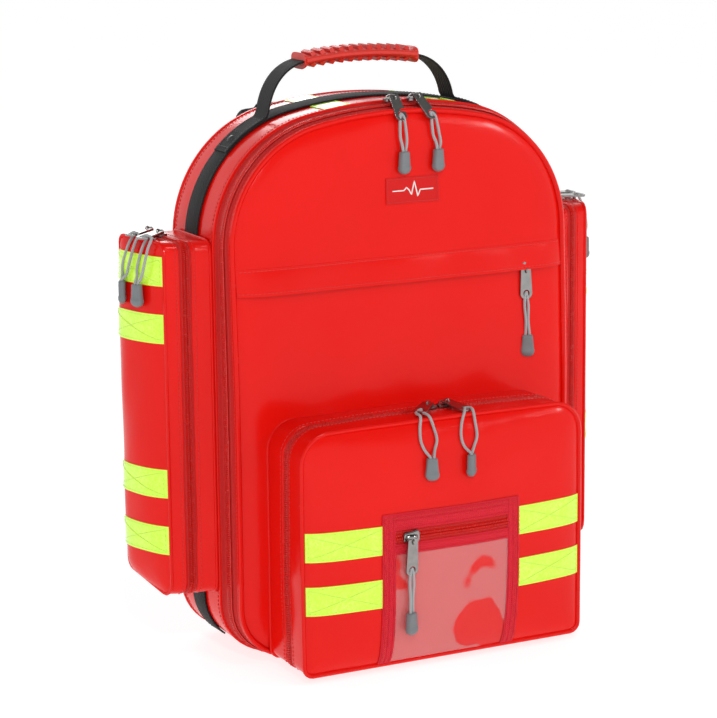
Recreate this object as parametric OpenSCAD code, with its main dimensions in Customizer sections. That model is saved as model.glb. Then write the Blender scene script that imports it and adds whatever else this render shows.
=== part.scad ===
// Trauma backpack: a zipped clamshell bag with a front pocket, two side pockets,
// a carrying handle and shoulder straps. X is the width, the front faces -Y, Z is up.
// The origin is on the ground at the middle of the bag's base. Millimetres.

/* [Main bag] */
// Width of the front panel between its piping lines
panel_w = 318; // [300:1:340]
// Height of the front panel's top edge
panel_top = 467; // [450:1:490]
// Height of the front panel's bottom edge
panel_bottom = 8; // [8:0.5:12]
// Radius of the top edge's shallow arch
crown_r = 382; // [300:1:600]
// Radius of the top corners
shoulder_r = 101; // [90:1:120]
// Radius of the bottom corners
corner_r = 44; // [40:1:60]
// Depth of the side fabric behind the main zip
gusset_d = 80; // [70:1:100]
// How far the side fabric stands outside the piping
gusset_out = 8; // [7:0.5:10]
// Thickness of the coated fabric
skin = 2; // [1.6:0.1:2.4]

/* [Front pocket] */
// Width of the front pocket
pocket_w = 268; // [240:1:270]
// Height of the pocket's top edge
pocket_top = 215; // [200:1:230]
// Height of the pocket's bottom edge
pocket_bottom = 8; // [8:0.5:14]
// Depth of the pocket's fixed part
pocket_base_d = 31; // [25:1:40]
// Depth of the pocket lid's side band
pocket_lid_d = 24; // [20:1:30]
// How far the pocket's face bulges
pocket_bulge = 15; // [8:1:20]
// Width of the clear window and its frame
window_w = 132; // [120:1:140]
// Height of the top of the window frame
window_top = 142.5; // [136:0.5:150]

/* [Side pockets] */
// Height of the side pockets' top
side_top = 367; // [350:1:380]
// Height of the side pockets' bottom at the front
side_bottom = 58; // [50:1:70]
// How much higher the bottom is at the back
side_rise = 17; // [5:1:25]
// Depth of the side pockets from front to back
side_d = 75; // [70:1:76]
// How far the fixed part stands out from the bag
side_base = 18.4; // [15:0.2:20]
// How far the lid stands out from its zip
side_lid = 14; // [10:1:18]
// How far the lid's face bulges
side_bulge = 12; // [6:1:14]

/* [Trim] */
// Width of the webbing and the reflective tape
tape_w = 25; // [20:1:30]
// Thickness of the webbing
web_t = 1.6; // [1.2:0.1:2]
// Width of one half of the main zip
zip_half = 13; // [11:1:15]
// Width of one half of a pocket zip
small_zip = 5.5; // [5:0.1:6]

/* [Handle and straps] */
// Distance between the feet of the carrying handle
handle_span = 180; // [170:1:196]
// Height of the handle webbing at its middle
handle_top = 512.5; // [508:0.5:520]
// Length of the rubber grip
grip_l = 110; // [100:1:130]
// Width of the shoulder pads
strap_w = 62; // [55:1:68]
// Thickness of the shoulder pads
strap_t = 13; // [10:1:15]
// Thickness of the back pad
back_pad_t = 12; // [8:1:13]

/* [Hidden] */
$fn = 96;

gap = 1;                                  // opening between the two halves of a zip
rear_y = 52;                              // back edge of the side fabric
gusset_y = rear_y - gusset_d;             // its front edge
split_y = gusset_y - zip_half - gap / 2;  // the main zip's middle
front_y = gusset_y - 2 * zip_half - gap;  // back face of the front panel
face_y = front_y - skin;                  // its front face
half_w = panel_w / 2;
band_y = 13;                              // middle of the webbing round the bag
base_t = 3;
gusset_low = panel_bottom - base_t;       // how far the side fabric hangs below the piping

flap_low = 322.7;                         // lower edge of the weather flap
flap_high = 344;                          // its stitch line
upper_zip_z = 328;
flap_y = face_y - 3.3;

pocket_y = face_y - pocket_base_d;        // front edge of the pocket's fixed fabric
pocket_split = pocket_y - small_zip - gap / 2;
pocket_lid_y = pocket_split - small_zip - gap / 2;
pocket_edge = pocket_lid_y - pocket_lid_d;
pocket_front = pocket_edge - pocket_bulge;
pocket_mid = (pocket_top + pocket_bottom) / 2;
pocket_half = (pocket_top - pocket_bottom) / 2;
window_zip_z = 122;

side_y = rear_y - 5 - side_d;             // front wall of the side pockets
side_back = side_y + side_d;
side_in = half_w + gusset_out + web_t;
side_zip = side_in + side_base;
side_split = side_zip + small_zip + gap / 2;
side_lid_x = side_split + small_zip + gap / 2;
side_edge = side_lid_x + side_lid;
side_r = 12;
side_mid = (side_top + side_bottom) / 2;
side_half = (side_top - side_bottom) / 2;
side_strips = [110, 160, 294, 343];       // middles of the reflective strips
top_tape_x = [-48, 55];                   // and of the two on the top

handle_x = -10;                           // middle of the handle
handle_pivot_z = 481.3 + panel_top - 467; // where its two legs bend
foot_r = [18.3, 12.5];                    // from there to the left and right foot
grip_t = 15;

// The strap's centre line from the top anchor to the ladder lock, in Y and Z
strap_path = [[57, 455], [104, 520], [132, 330], [84, 200]];
strap_x = 60;                             // middle of a shoulder pad
anchor = [57, 24];                        // lower strap anchor, in Y and Z

// Sweeps a shape drawn in X and Z from y0 to y1
module along_y(y0, y1) {
    translate([0, y1, 0]) rotate([90, 0, 0]) linear_extrude(y1 - y0) children();
}

// Sweeps a shape drawn in Y and Z from x0 to x1
module along_x(x0, x1) {
    translate([x0, 0, 0]) rotate([90, 0, 90]) linear_extrude(x1 - x0) children();
}

// Rectangle with round corners between two corner points
module round_rect(low, high, r) {
    translate([low.x + r, low.y]) square([high.x - low.x - 2 * r, high.y - low.y]);
    translate([low.x, low.y + r]) square([high.x - low.x, high.y - low.y - 2 * r]);
    for (x = [low.x + r, high.x - r], y = [low.y + r, high.y - r]) translate([x, y]) circle(r);
}

// The bag's arched outline, grown by out at the sides and top and by low at the bottom
module arch(out, low) {
    rb = corner_r + low;
    xb = half_w + out - rb;
    xt = half_w - shoulder_r;
    zb = panel_bottom + corner_r;
    zc = panel_top - crown_r;
    zt = zc + sqrt(pow(crown_r - shoulder_r, 2) - xt * xt);
    intersection() {
        translate([0, zc]) circle(crown_r + out, $fn = 360);
        polygon([[0, zc], [2 * xt, 2 * zt - zc], [-2 * xt, 2 * zt - zc]]);
    }
    for (s = [-1, 1]) {
        translate([s * xt, zt]) circle(shoulder_r + out, $fn = 180);
        translate([s * xb, zb]) circle(rb);
    }
    translate([-half_w - out, zb]) square([2 * (half_w + out), zt - zb]);
    translate([-xb, zb - rb]) square([2 * xb, rb + 1]);
}

// A band of fabric that follows the arch
module arch_ring(y0, y1, out, low, t) {
    along_y(y0, y1) difference() {
        arch(out, low);
        arch(out - t, low - t);
    }
}

// The front pocket's outline, grown by out
module pocket_outline(out) {
    w = pocket_w / 2 + out;
    top_r = 25 + out;
    low_r = 8 + out;
    for (s = [-1, 1]) {
        translate([s * (w - top_r), pocket_top + out - top_r]) circle(top_r);
        translate([s * (w - low_r), pocket_bottom - out + low_r]) circle(low_r);
    }
    translate([-w, pocket_bottom - out + low_r])
        square([2 * w, pocket_top - pocket_bottom + 2 * out - low_r - top_r]);
    translate([-w + top_r, pocket_top + out - top_r]) square([2 * (w - top_r), top_r]);
    translate([-w + low_r, pocket_bottom - out]) square([2 * (w - low_r), low_r]);
}

// Everything behind the bulged face of the front pocket, with the face moved out
module behind_face(out) {
    rx = (pow(pocket_w / 2, 2) + pow(pocket_bulge, 2)) / (2 * pocket_bulge);
    rz = (pow(pocket_half, 2) + pow(pocket_bulge, 2)) / (2 * pocket_bulge);
    intersection() {
        translate([0, pocket_front + rx, -50]) cylinder(r = rx + out, h = 400, $fn = 360);
        translate([-200, pocket_front + rz, pocket_mid])
            rotate([0, 90, 0]) cylinder(r = rz + out, h = 400, $fn = 360);
    }
}

// A layer on the pocket's face, cut to the outline that follows
module on_face(out, t) {
    intersection() {
        along_y(pocket_front - 5, pocket_edge + 12) children();
        difference() {
            behind_face(out + t);
            behind_face(out);
        }
    }
}

// The side pocket's outline in Y and Z, grown by out
module side_outline(out) {
    slope = side_rise / side_d;
    lift = out * sqrt(1 + slope * slope);
    y0 = side_y - out;
    y1 = side_back + out;
    z1 = side_top + out;
    r = side_r + out;
    polygon([
        [y0, side_bottom - slope * out - lift], [y1, side_bottom + slope * (side_d + out) - lift],
        [y1, z1], [y0 + r, z1], [y0 + r, z1 - r], [y0, z1 - r]
    ]);
    translate([y0 + r, z1 - r]) circle(r);
}

// Everything inside the bulged face of a side pocket on the +X side
module inside_side_face(out) {
    b = side_bulge;
    ry = (pow(side_d / 2, 2) + b * b) / (2 * b);
    rz = (pow(side_half, 2) + b * b) / (2 * b);
    intersection() {
        translate([side_edge + b - ry, (side_y + side_back) / 2, 0])
            cylinder(r = ry + out, h = 400, $fn = 360);
        translate([side_edge + b - rz, -200, side_mid])
            rotate([-90, 0, 0]) cylinder(r = rz + out, h = 400, $fn = 360);
    }
}

// Point at t on a cubic curve with the four control points p
function curve(p, t) = pow(1 - t, 3) * p[0] + 3 * t * pow(1 - t, 2) * p[1]
    + 3 * t * t * (1 - t) * p[2] + pow(t, 3) * p[3];

// Direction of that curve at t, one unit long
function heading(p, t) = let (
    v = 3 * pow(1 - t, 2) * (p[1] - p[0]) + 6 * t * (1 - t) * (p[2] - p[1])
        + 3 * t * t * (p[3] - p[2])
) v / norm(v);

// A ribbon of thickness w along the curve, between the curve's places t0 and t1
module ribbon(p, w, t0 = 0, t1 = 1, steps = 20) {
    ts = [for (i = [0:steps]) t0 + (t1 - t0) * i / steps];
    side = function(t, s) let (h = heading(p, t)) curve(p, t) + s * w / 2 * [-h.y, h.x];
    polygon(concat(
        [for (t = ts) side(t, 1)],
        [for (i = [steps:-1:0]) side(ts[i], -1)]
    ));
}

// ---- Main bag ----

module main_gusset() {
    color("red") arch_ring(gusset_y, rear_y, gusset_out, gusset_low, skin);
}

module rear_panel() {
    color("black") along_y(rear_y, rear_y + skin) arch(gusset_out, gusset_low);
}

module frame_sheet() {
    in = gusset_out - skin - 1;
    color("dimgray") along_y(rear_y - 2.5, rear_y) arch(in, gusset_low - skin - 1);
}

module base_panel() {
    color("black") linear_extrude(base_t)
        round_rect([-half_w + corner_r - 6, gusset_y + 2], [half_w - corner_r + 6, rear_y], 12);
}

module gusset_webbing() {
    color("black") intersection() {
        arch_ring(band_y - tape_w / 2, band_y + tape_w / 2, gusset_out + web_t,
            gusset_low + web_t, web_t);
        translate([-300, -50, 20]) cube([600, 150, 600]);
    }
}

module top_reflectors() {
    near = tape_w / 2 + 1;
    color("greenyellow") for (y = [[gusset_y, band_y - near], [band_y + near, rear_y]]) {
        along_y(y[0], y[1]) intersection() {
            difference() {
                arch(gusset_out + 0.6, gusset_low);
                arch(gusset_out, gusset_low);
            }
            for (x = top_tape_x) translate([x - tape_w / 2, 400]) square([tape_w, 100]);
        }
    }
}

module main_zip_rear() {
    color("firebrick")
        arch_ring(split_y + gap / 2, gusset_y, gusset_out - 1, gusset_low - 1, skin);
}

module main_zip_front() {
    color("firebrick") arch_ring(front_y, split_y - gap / 2, 3, gusset_low - 2, skin);
}

module front_panel() {
    color("red") difference() {
        along_y(face_y, front_y) arch(1.5, 1.5);
        along_y(face_y - 1, front_y + 1)
            round_rect([-122, upper_zip_z - 4], [122, upper_zip_z + 4], 3.9);
    }
}

module upper_zip() {
    color("firebrick") {
        along_y(front_y, front_y + 1) round_rect([-132, upper_zip_z - 13],
            [132, upper_zip_z + 13], 3);
        along_y(front_y - 1.6, front_y) round_rect([-121.5, upper_zip_z - 3.4],
            [121.5, upper_zip_z + 3.4], 3);
    }
}

module weather_flap() {
    color("red") translate([-half_w + 3, flap_y - 1.2, flap_low])
        cube([panel_w - 6, 1.2, flap_high - flap_low]);
}

module back_pad() {
    color("darkslategray") along_y(rear_y + skin, rear_y + skin + back_pad_t) difference() {
        round_rect([-112, 48], [112, 424], 35);
        for (x = [-30, 30]) translate([x - 4, 90]) square([8, 290]);
    }
}

// ---- Front pocket ----

module front_pocket_body() {
    color("red") along_y(pocket_y, face_y) difference() {
        pocket_outline(0);
        pocket_outline(-skin);
    }
}

module front_zip_rear() {
    color("firebrick") along_y(pocket_split + gap / 2, pocket_y) difference() {
        pocket_outline(-0.5);
        pocket_outline(-skin);
    }
}

module front_zip_front() {
    color("firebrick") along_y(pocket_lid_y, pocket_split - gap / 2) difference() {
        pocket_outline(-0.5);
        pocket_outline(-skin);
    }
}

module front_pocket_lid() {
    color("red") difference() {
        intersection() {
            along_y(pocket_front - 5, pocket_lid_y) pocket_outline(0);
            behind_face(0);
        }
        intersection() {
            along_y(pocket_front - 5, pocket_lid_y + 1) pocket_outline(-skin);
            behind_face(-skin);
        }
    }
}

module front_reflectors() {
    inner = window_w / 2 + 0.5;
    edge = pocket_w / 2 - 1;
    color("greenyellow") on_face(0, 0.8) for (z = [120.5, 74.1]) {
        translate([-edge, z - tape_w / 2]) square([edge - inner, tape_w]);
        translate([inner, z - tape_w / 2]) square([edge - inner, tape_w]);
    }
}

module window_frame() {
    w = window_w / 2;
    color("crimson") on_face(0, 1.4) difference() {
        translate([-w, pocket_bottom + 4]) square([window_w, window_top - pocket_bottom - 4]);
        translate([-w + 12, pocket_bottom + 10]) square([window_w - 24, 88]);
        translate([-w + 12, 116]) square([window_w - 24, 12]);
    }
}

module window_sheet() {
    w = window_w / 2 - 12;
    color("mistyrose") on_face(0, 0.8) translate([-w, pocket_bottom + 10])
        square([2 * w, 88]);
}

module window_zip() {
    w = window_w / 2 - 12;
    color("firebrick") on_face(0, 1) translate([-w, 116]) square([2 * w, 12]);
}

// ---- Side pockets, drawn on the +X side and mirrored for the left ----

module side_ring(x0, x1, inset, t) {
    along_x(x0, x1) difference() {
        side_outline(-inset);
        side_outline(-t);
    }
}

module side_body() {
    color("red") {
        side_ring(side_in + 1.4, side_zip, 0, skin);
        along_x(side_in, side_in + 1.4) side_outline(0);
    }
}

module side_zip_rear() {
    color("firebrick") side_ring(side_zip, side_split - gap / 2, 0.5, skin);
}

module side_zip_front() {
    color("firebrick") side_ring(side_split + gap / 2, side_lid_x, 0.5, skin);
}

module side_pocket_lid() {
    color("red") difference() {
        intersection() {
            along_x(side_lid_x, side_edge + 20) side_outline(0);
            inside_side_face(0);
        }
        intersection() {
            along_x(side_lid_x - 1, side_edge + 20) side_outline(-skin);
            inside_side_face(-skin);
        }
    }
}

module side_reflectors() {
    color("greenyellow") intersection() {
        along_x(side_edge - 12, side_edge + 20) for (z = side_strips) {
            translate([side_y + 0.5, z - tape_w / 2]) square([side_d - 1, tape_w]);
        }
        difference() {
            inside_side_face(0.8);
            inside_side_face(0);
        }
    }
}

module mirror_left() {
    mirror([1, 0, 0]) children();
}

module left_pocket_body() { mirror_left() side_body(); }
module left_zip_rear() { mirror_left() side_zip_rear(); }
module left_zip_front() { mirror_left() side_zip_front(); }
module left_pocket_lid() { mirror_left() side_pocket_lid(); }
module left_reflectors() { mirror_left() side_reflectors(); }
module right_pocket_body() { side_body(); }
module right_zip_rear() { side_zip_rear(); }
module right_zip_front() { side_zip_front(); }
module right_pocket_lid() { side_pocket_lid(); }
module right_reflectors() { side_reflectors(); }

// ---- Carrying handle ----

// Control points of one leg, from its foot to the grip, measured from the handle's middle
function leg(s) = [
    [s * handle_span / 2, handle_pivot_z - foot_r[(s + 1) / 2]],
    [s * (handle_span / 2 - 5), 496],
    [s * (handle_span / 2 - 26), handle_top], [s * (handle_span / 2 - 46), handle_top]
];

// A point on the webbing's outer (out = 1) or inner (out = -1) face
function leg_side(s, t, out) =
    let (h = heading(leg(s), t)) curve(leg(s), t) - s * out * [-h.y, h.x];

module handle_webbing() {
    up = [for (i = [0:20]) 0.001 + 0.999 * i / 20];
    down = [for (i = [20:-1:0]) up[i]];
    color("black") translate([handle_x, 0, 0]) intersection() {
        along_y(band_y - tape_w / 2, band_y + tape_w / 2) polygon(concat(
            [for (t = up) leg_side(-1, t, 1)], [for (t = down) leg_side(1, t, 1)],
            [for (t = up) leg_side(1, t, -1)], [for (t = down) leg_side(-1, t, -1)]
        ));
        for (i = [0, 1]) along_x(-200 * (1 - i), 200 * i) {
            translate([band_y, handle_pivot_z]) circle(foot_r[i]);
            translate([band_y - tape_w, handle_pivot_z]) square([2 * tape_w, 80]);
        }
    }
}

module handle_grip() {
    low = handle_top - 7.5;
    ribs = 10;
    pitch = grip_l / ribs;
    color("orangered") translate([handle_x, 0, 0]) difference() {
        along_y(band_y - 14, band_y + 14) {
            round_rect([-grip_l / 2, low + 2], [grip_l / 2, low + grip_t - 3], 4);
            for (i = [0:ribs - 1], z = [low, low + grip_t - 5]) {
                translate([-grip_l / 2 + (i + 0.5) * pitch - 3.5, z]) square([7, 4]);
            }
        }
        translate([-100, band_y - tape_w / 2 - 0.3, handle_top - 3])
            cube([200, tape_w + 0.6, 4.3]);
    }
}

// ---- Shoulder straps, drawn on the +X side and mirrored for the left ----

module shoulder_pad() {
    color("black") intersection() {
        along_x(strap_x - strap_w, strap_x + strap_w) ribbon(strap_path, strap_t, 0.1, 0.93);
        along_y(rear_y, 200) round_rect([strap_x - strap_w / 2, 222],
            [strap_x + strap_w / 2, 520], 20);
    }
}

module strap_yoke() {
    color("black") along_x(strap_x - tape_w, strap_x + tape_w) ribbon(strap_path, 5, 0, 0.1, 4);
}

module ladder_lock() {
    end = curve(strap_path, 0.93);
    color("black") translate([strap_x - 16, end.x - 4, end.y - 29]) difference() {
        cube([32, 6, 25]);
        for (z = [4, 14]) translate([3, -1, z]) cube([26, 8, 7]);
    }
}

module lower_webbing() {
    end = curve(strap_path, 0.93) - [0, 30];
    color("black") along_x(strap_x - tape_w / 2, strap_x + tape_w / 2)
        ribbon([anchor, anchor + [22, 20], end + [6, -60], end], web_t);
}

module sternum_strap() {
    at = curve(strap_path, 0.45);
    color("black") {
        translate([12, at.x + 9, at.y - 10]) cube([strap_x - 12, 2, 20]);
        translate([2, at.x + 7, at.y - 14]) cube([22, 8, 28]);
    }
}

module left_shoulder_pad() { mirror_left() { shoulder_pad(); strap_yoke(); } }
module left_lower_webbing() { mirror_left() lower_webbing(); }
module left_ladder_lock() { mirror_left() ladder_lock(); }
module left_sternum_strap() { mirror_left() sternum_strap(); }
module right_shoulder_pad() { shoulder_pad(); strap_yoke(); }
module right_lower_webbing() { lower_webbing(); }
module right_ladder_lock() { ladder_lock(); }
module right_sternum_strap() { sternum_strap(); }

// ---- Zip sliders and their cord pulls ----

slider_l = 13;
slider_w = 9;
slider_t = 4.5;
tab_l = 30;
tab_w = 10;
tab_t = 1.8;
end_l = 19;
end_w = 12;
end_t = 5;
cord_d = 2.5;

// A slider lying on the XY plane, its length along X, with the bridge for the tab
module slider_head() {
    color("silver") {
        translate([-slider_l / 2, -slider_w / 2, 0]) linear_extrude(slider_t - 1.5)
            round_rect([0, 0], [slider_l, slider_w], 2.5);
        translate([-3.5, -1.5, 0]) cube([7, 3, slider_t]);
    }
}

// The pull tab, hanging down from the origin in the XZ plane
module tab(l = tab_l) {
    color("silver") translate([0, tab_t / 2, 0]) rotate([90, 0, 0]) linear_extrude(tab_t)
    difference() {
        round_rect([-tab_w / 2, -l], [tab_w / 2, 0], 3);
        translate([0, -l + 5]) circle(2.2);
        translate([0, -5]) circle(2.2);
    }
}

// Cord loop and rubber end, hanging down from the origin
module cord_and_end(l) {
    color("silver") for (s = [-1, 1]) {
        translate([s * 2, 0, -l]) cylinder(d = cord_d, h = l, $fn = 8);
    }
    color("gray") along_y(-end_t / 2, end_t / 2) {
        round_rect([-end_w / 2, -l - end_l], [end_w / 2, -l - 3], 4);
        translate([-4, -l - 6]) square([8, 6]);
    }
}

// Main zip: the tab drapes over the panel's edge and the cord hangs down the front
main_z = panel_top + gusset_out + 0.5;
main_slider_x = [-2, 20];
main_pull_dx = [-4, 8];                   // how far each tab leans to the side
main_edge = [-64, 466];                   // where the cord leaves the tab, in Y and Z

module main_slider(i) {
    translate([main_slider_x[i], split_y, main_z]) slider_head();
}

module main_pull(i) {
    run = main_edge - [split_y - 4, main_z + 5];
    x = main_slider_x[i];
    l = norm([run.x, run.y, main_pull_dx[i]]);
    translate([x, split_y - 4, main_z + 5]) rotate([-atan2(-run.x, -run.y), 0, 0])
        rotate([0, -asin(main_pull_dx[i] / l), 0]) tab(l + 4);
    translate([x + main_pull_dx[i], main_edge.x - 3.4, main_edge.y]) cord_and_end(32);
}

// Upper slit zip
upper_x = 116;

module upper_slider() {
    color("silver") translate([upper_x - slider_w / 2, face_y - 2.6, upper_zip_z - 10])
        cube([slider_w, 2.4, 14]);
}

module upper_pull() {
    translate([upper_x, flap_y - 0.4, flap_low - 1.5]) tab(26);
    translate([upper_x, flap_y - 2.2, flap_low - 26]) cord_and_end(33);
}

// Front pocket zip: the tabs lie on the top band and the cords hang down the face
front_slider_x = [1, 17];
front_z = pocket_top + 0.5;
front_lead = [[-16, -19], [23, -27]];     // where each tab ends, from the middle and the zip
front_end = [[-19, 186], [19, 185]];      // X and top Z of the two rubber ends

module front_slider(i) {
    translate([front_slider_x[i], pocket_split, front_z]) slider_head();
}

module front_pull(i) {
    lead = [front_lead[i].x, pocket_split + front_lead[i].y];
    run = lead - [front_slider_x[i], pocket_split - 4];
    x = front_end[i].x;
    over = pocket_edge - 15;
    translate([front_slider_x[i], pocket_split - 4, front_z + 4.4])
        rotate([0, 0, atan2(run.y, run.x) + 90]) rotate([-90, 0, 0]) tab(norm(run) + 4);
    color("silver") for (s = [-2, 2]) {
        rod([lead.x + s, lead.y, front_z + 6.3], [x + s, over, front_z - 3]);
        rod([x + s, over, front_z - 3], [x + s, over, front_end[i].y + 1]);
    }
    translate([x, over, front_end[i].y + 2]) cord_and_end(2);
}

// One run of cord from a to b
module rod(a, b) {
    v = b - a;
    translate(a) rotate([0, atan2(norm([v.x, v.y]), v.z), atan2(v.y, v.x)])
        cylinder(d = cord_d, h = norm(v) + cord_d / 3, $fn = 8);
}

// Window zip
window_slider_x = -41;
window_y = pocket_front - 1.3;

module window_slider() {
    translate([window_slider_x, window_y, window_zip_z]) rotate([90, 0, 0]) slider_head();
}

module window_pull() {
    translate([window_slider_x, window_y - 4.4, window_zip_z - 2.5]) tab(30);
    translate([window_slider_x, window_y - 6.2, window_zip_z - 27]) cord_and_end(40);
}

// Side pocket zips: the tabs lie on the top band and the cords hang down the outer face
side_slider_y = [17, 37];
side_z = side_top + 0.5;
side_turn = 35;                           // how far the tabs point forwards
side_end = [[3, 331], [25, 331]];         // Y and top Z of the two rubber ends

module side_slider(i) {
    translate([side_split, side_slider_y[i], side_z]) rotate([0, 0, 90]) slider_head();
}

module side_pull(i) {
    over = side_edge + side_bulge;
    lead = [side_split + 4 + 22 * cos(side_turn), side_slider_y[i] - 22 * sin(side_turn)];
    y = side_end[i].x;
    translate([side_split + 4, side_slider_y[i], side_z + 4.4])
        rotate([0, 0, 90 - side_turn]) rotate([-90, 0, 0]) tab(26);
    color("silver") for (s = [-2, 2]) {
        rod([lead.x, lead.y + s, side_z + 6.3], [over, y + s, side_z - 4]);
        rod([over, y + s, side_z - 4], [over, y + s, side_end[i].y + 1]);
    }
    translate([over, y, side_end[i].y + 2]) rotate([0, 0, 90]) cord_and_end(2);
}

module main_slider_left() { main_slider(0); }
module main_pull_left() { main_pull(0); }
module main_slider_right() { main_slider(1); }
module main_pull_right() { main_pull(1); }
module front_slider_left() { front_slider(0); }
module front_pull_left() { front_pull(0); }
module front_slider_right() { front_slider(1); }
module front_pull_right() { front_pull(1); }
module left_slider_front() { mirror_left() side_slider(0); }
module left_pull_front() { mirror_left() side_pull(0); }
module left_slider_rear() { mirror_left() side_slider(1); }
module left_pull_rear() { mirror_left() side_pull(1); }
module right_slider_front() { side_slider(0); }
module right_pull_front() { side_pull(0); }
module right_slider_rear() { side_slider(1); }
module right_pull_rear() { side_pull(1); }

main_gusset();
rear_panel();
frame_sheet();
base_panel();
gusset_webbing();
top_reflectors();
main_zip_rear();
back_pad();
left_pocket_body();
left_zip_rear();
right_pocket_body();
right_zip_rear();
front_panel();
main_zip_front();
upper_zip();
front_pocket_body();
front_zip_rear();
weather_flap();
front_pocket_lid();
front_zip_front();
front_reflectors();
window_frame();
window_sheet();
window_zip();
left_pocket_lid();
left_zip_front();
left_reflectors();
right_pocket_lid();
right_zip_front();
right_reflectors();
handle_webbing();
handle_grip();
left_shoulder_pad();
left_lower_webbing();
left_ladder_lock();
left_sternum_strap();
right_shoulder_pad();
right_lower_webbing();
right_ladder_lock();
right_sternum_strap();
main_slider_left();
main_pull_left();
main_slider_right();
main_pull_right();
upper_slider();
upper_pull();
front_slider_left();
front_pull_left();
front_slider_right();
front_pull_right();
window_slider();
window_pull();
left_slider_front();
left_pull_front();
left_slider_rear();
left_pull_rear();
right_slider_front();
right_pull_front();
right_slider_rear();
right_pull_rear();
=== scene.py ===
# Trauma backpack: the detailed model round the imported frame.
# Shapes are worked out in millimetres in the frame's axes and made in metres.
import math
import bpy
import bmesh
import numpy as np
from mathutils import Matrix, Vector


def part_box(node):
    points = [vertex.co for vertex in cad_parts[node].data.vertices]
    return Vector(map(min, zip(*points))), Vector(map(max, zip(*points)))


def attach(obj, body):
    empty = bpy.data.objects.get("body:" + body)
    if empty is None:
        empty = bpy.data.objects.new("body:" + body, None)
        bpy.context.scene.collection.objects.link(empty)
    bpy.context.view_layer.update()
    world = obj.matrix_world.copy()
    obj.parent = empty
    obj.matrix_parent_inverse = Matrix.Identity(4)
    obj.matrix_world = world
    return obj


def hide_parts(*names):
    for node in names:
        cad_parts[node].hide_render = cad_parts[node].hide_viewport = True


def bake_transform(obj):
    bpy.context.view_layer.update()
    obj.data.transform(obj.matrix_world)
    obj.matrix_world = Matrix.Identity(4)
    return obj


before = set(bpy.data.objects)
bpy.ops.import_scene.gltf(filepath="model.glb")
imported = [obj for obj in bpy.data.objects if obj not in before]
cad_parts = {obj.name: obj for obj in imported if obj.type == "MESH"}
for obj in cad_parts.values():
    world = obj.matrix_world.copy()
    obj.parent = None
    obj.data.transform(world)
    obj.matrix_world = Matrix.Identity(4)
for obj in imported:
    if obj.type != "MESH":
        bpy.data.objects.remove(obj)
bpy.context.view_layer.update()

MM = 0.001
TAPE = 25.0          # width of the webbing and the reflective tape
SEAM = 3.6           # pitch of the stitches on fabric
ZIP_SEAM = 3.4       # pitch of the stitches on zip tape and straps
WEB = 1.5            # thickness of the webbing
TOOTH = 1.6          # pitch of the small coils
THREAD = 0.5         # thickness of the thread
CORD_R = 1.25        # radius of the pulls' cord
END_LONG = 19.3      # length of a pull's moulded end
RIGHT, FRONT, UP = (1, 0, 0), (0, -1, 0), (0, 0, 1)


def corners_of(node):
    """Lowest and highest corner of a CAD node, in millimetres."""
    low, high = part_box(node)
    return np.array(low) / MM, np.array(high) / MM


def mid_of(node, axis):
    low, high = corners_of(node)
    return (low[axis] + high[axis]) / 2


# ---------------------------------------------------------------- materials

class Look:
    """A material under construction: a Principled shader and the nodes that feed it."""

    def __init__(self, name, colour, rough, **more):
        self.material = bpy.data.materials.new(name)
        self.material.use_nodes = True
        self.tree = self.material.node_tree
        self.shader = self.tree.nodes["Principled BSDF"]
        self.shader.inputs["Base Color"].default_value = (*colour, 1)
        self.shader.inputs["Roughness"].default_value = rough
        self.colour = colour
        for key, value in more.items():
            self.shader.inputs[key.replace("_", " ")].default_value = value

    def node(self, kind, out=0, props=None, **inputs):
        """Adds a node, fills or links its inputs and returns one of its outputs. An input is
        given by its name, or by its number as _0, _1 and so on."""
        made = self.tree.nodes.new("ShaderNode" + kind)
        for key, value in (props or {}).items():
            setattr(made, key, value)
        for key, value in inputs.items():
            at = int(key[1:]) if key[0] == "_" else key.replace("_", " ")
            socket = made.inputs[at]
            if isinstance(value, bpy.types.NodeSocket):
                self.tree.links.new(value, socket)
            else:
                socket.default_value = value
        return made.outputs[out]

    def space(self):
        """The piece's own coordinates, in metres."""
        return self.node("TexCoord", out="Object")

    def along(self):
        """Coordinates along and across a strip, in metres."""
        return self.node("TexCoord", out="UV")

    def noise(self, where, scale, detail=2.0):
        return self.node("TexNoise", Vector=where, Scale=scale, Detail=detail)

    def wave(self, where, pitch, direction, distort=0.0):
        """Ridges with this pitch in millimetres."""
        return self.node("TexWave", out="Fac", props={"bands_direction": direction},
                         Vector=where, Scale=math.pi / 10 / (pitch * MM), Distortion=distort)

    def maths(self, operation, a, b):
        return self.node("Math", props={"operation": operation}, _0=a, _1=b)

    def bump(self, *layers):
        """Each layer is (height, depth in millimetres)."""
        normal = None
        for height, depth in layers:
            below = {} if normal is None else {"Normal": normal}
            normal = self.node("Bump", Height=height, Distance=depth * MM, Strength=1.0, **below)
        self.tree.links.new(normal, self.shader.inputs["Normal"])
        return self

    def tint(self, mask, other):
        """Mixes another colour in where the mask is high."""
        mixed = self.node("Mix", out=2, props={"data_type": "RGBA"}, _0=mask,
                          _6=(*self.colour, 1), _7=(*other, 1))
        self.tree.links.new(mixed, self.shader.inputs["Base Color"])
        return self

    def vary_rough(self, mask, low, high):
        made = self.node("MapRange", Value=mask, To_Min=low, To_Max=high)
        self.tree.links.new(made, self.shader.inputs["Roughness"])
        return self


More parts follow.
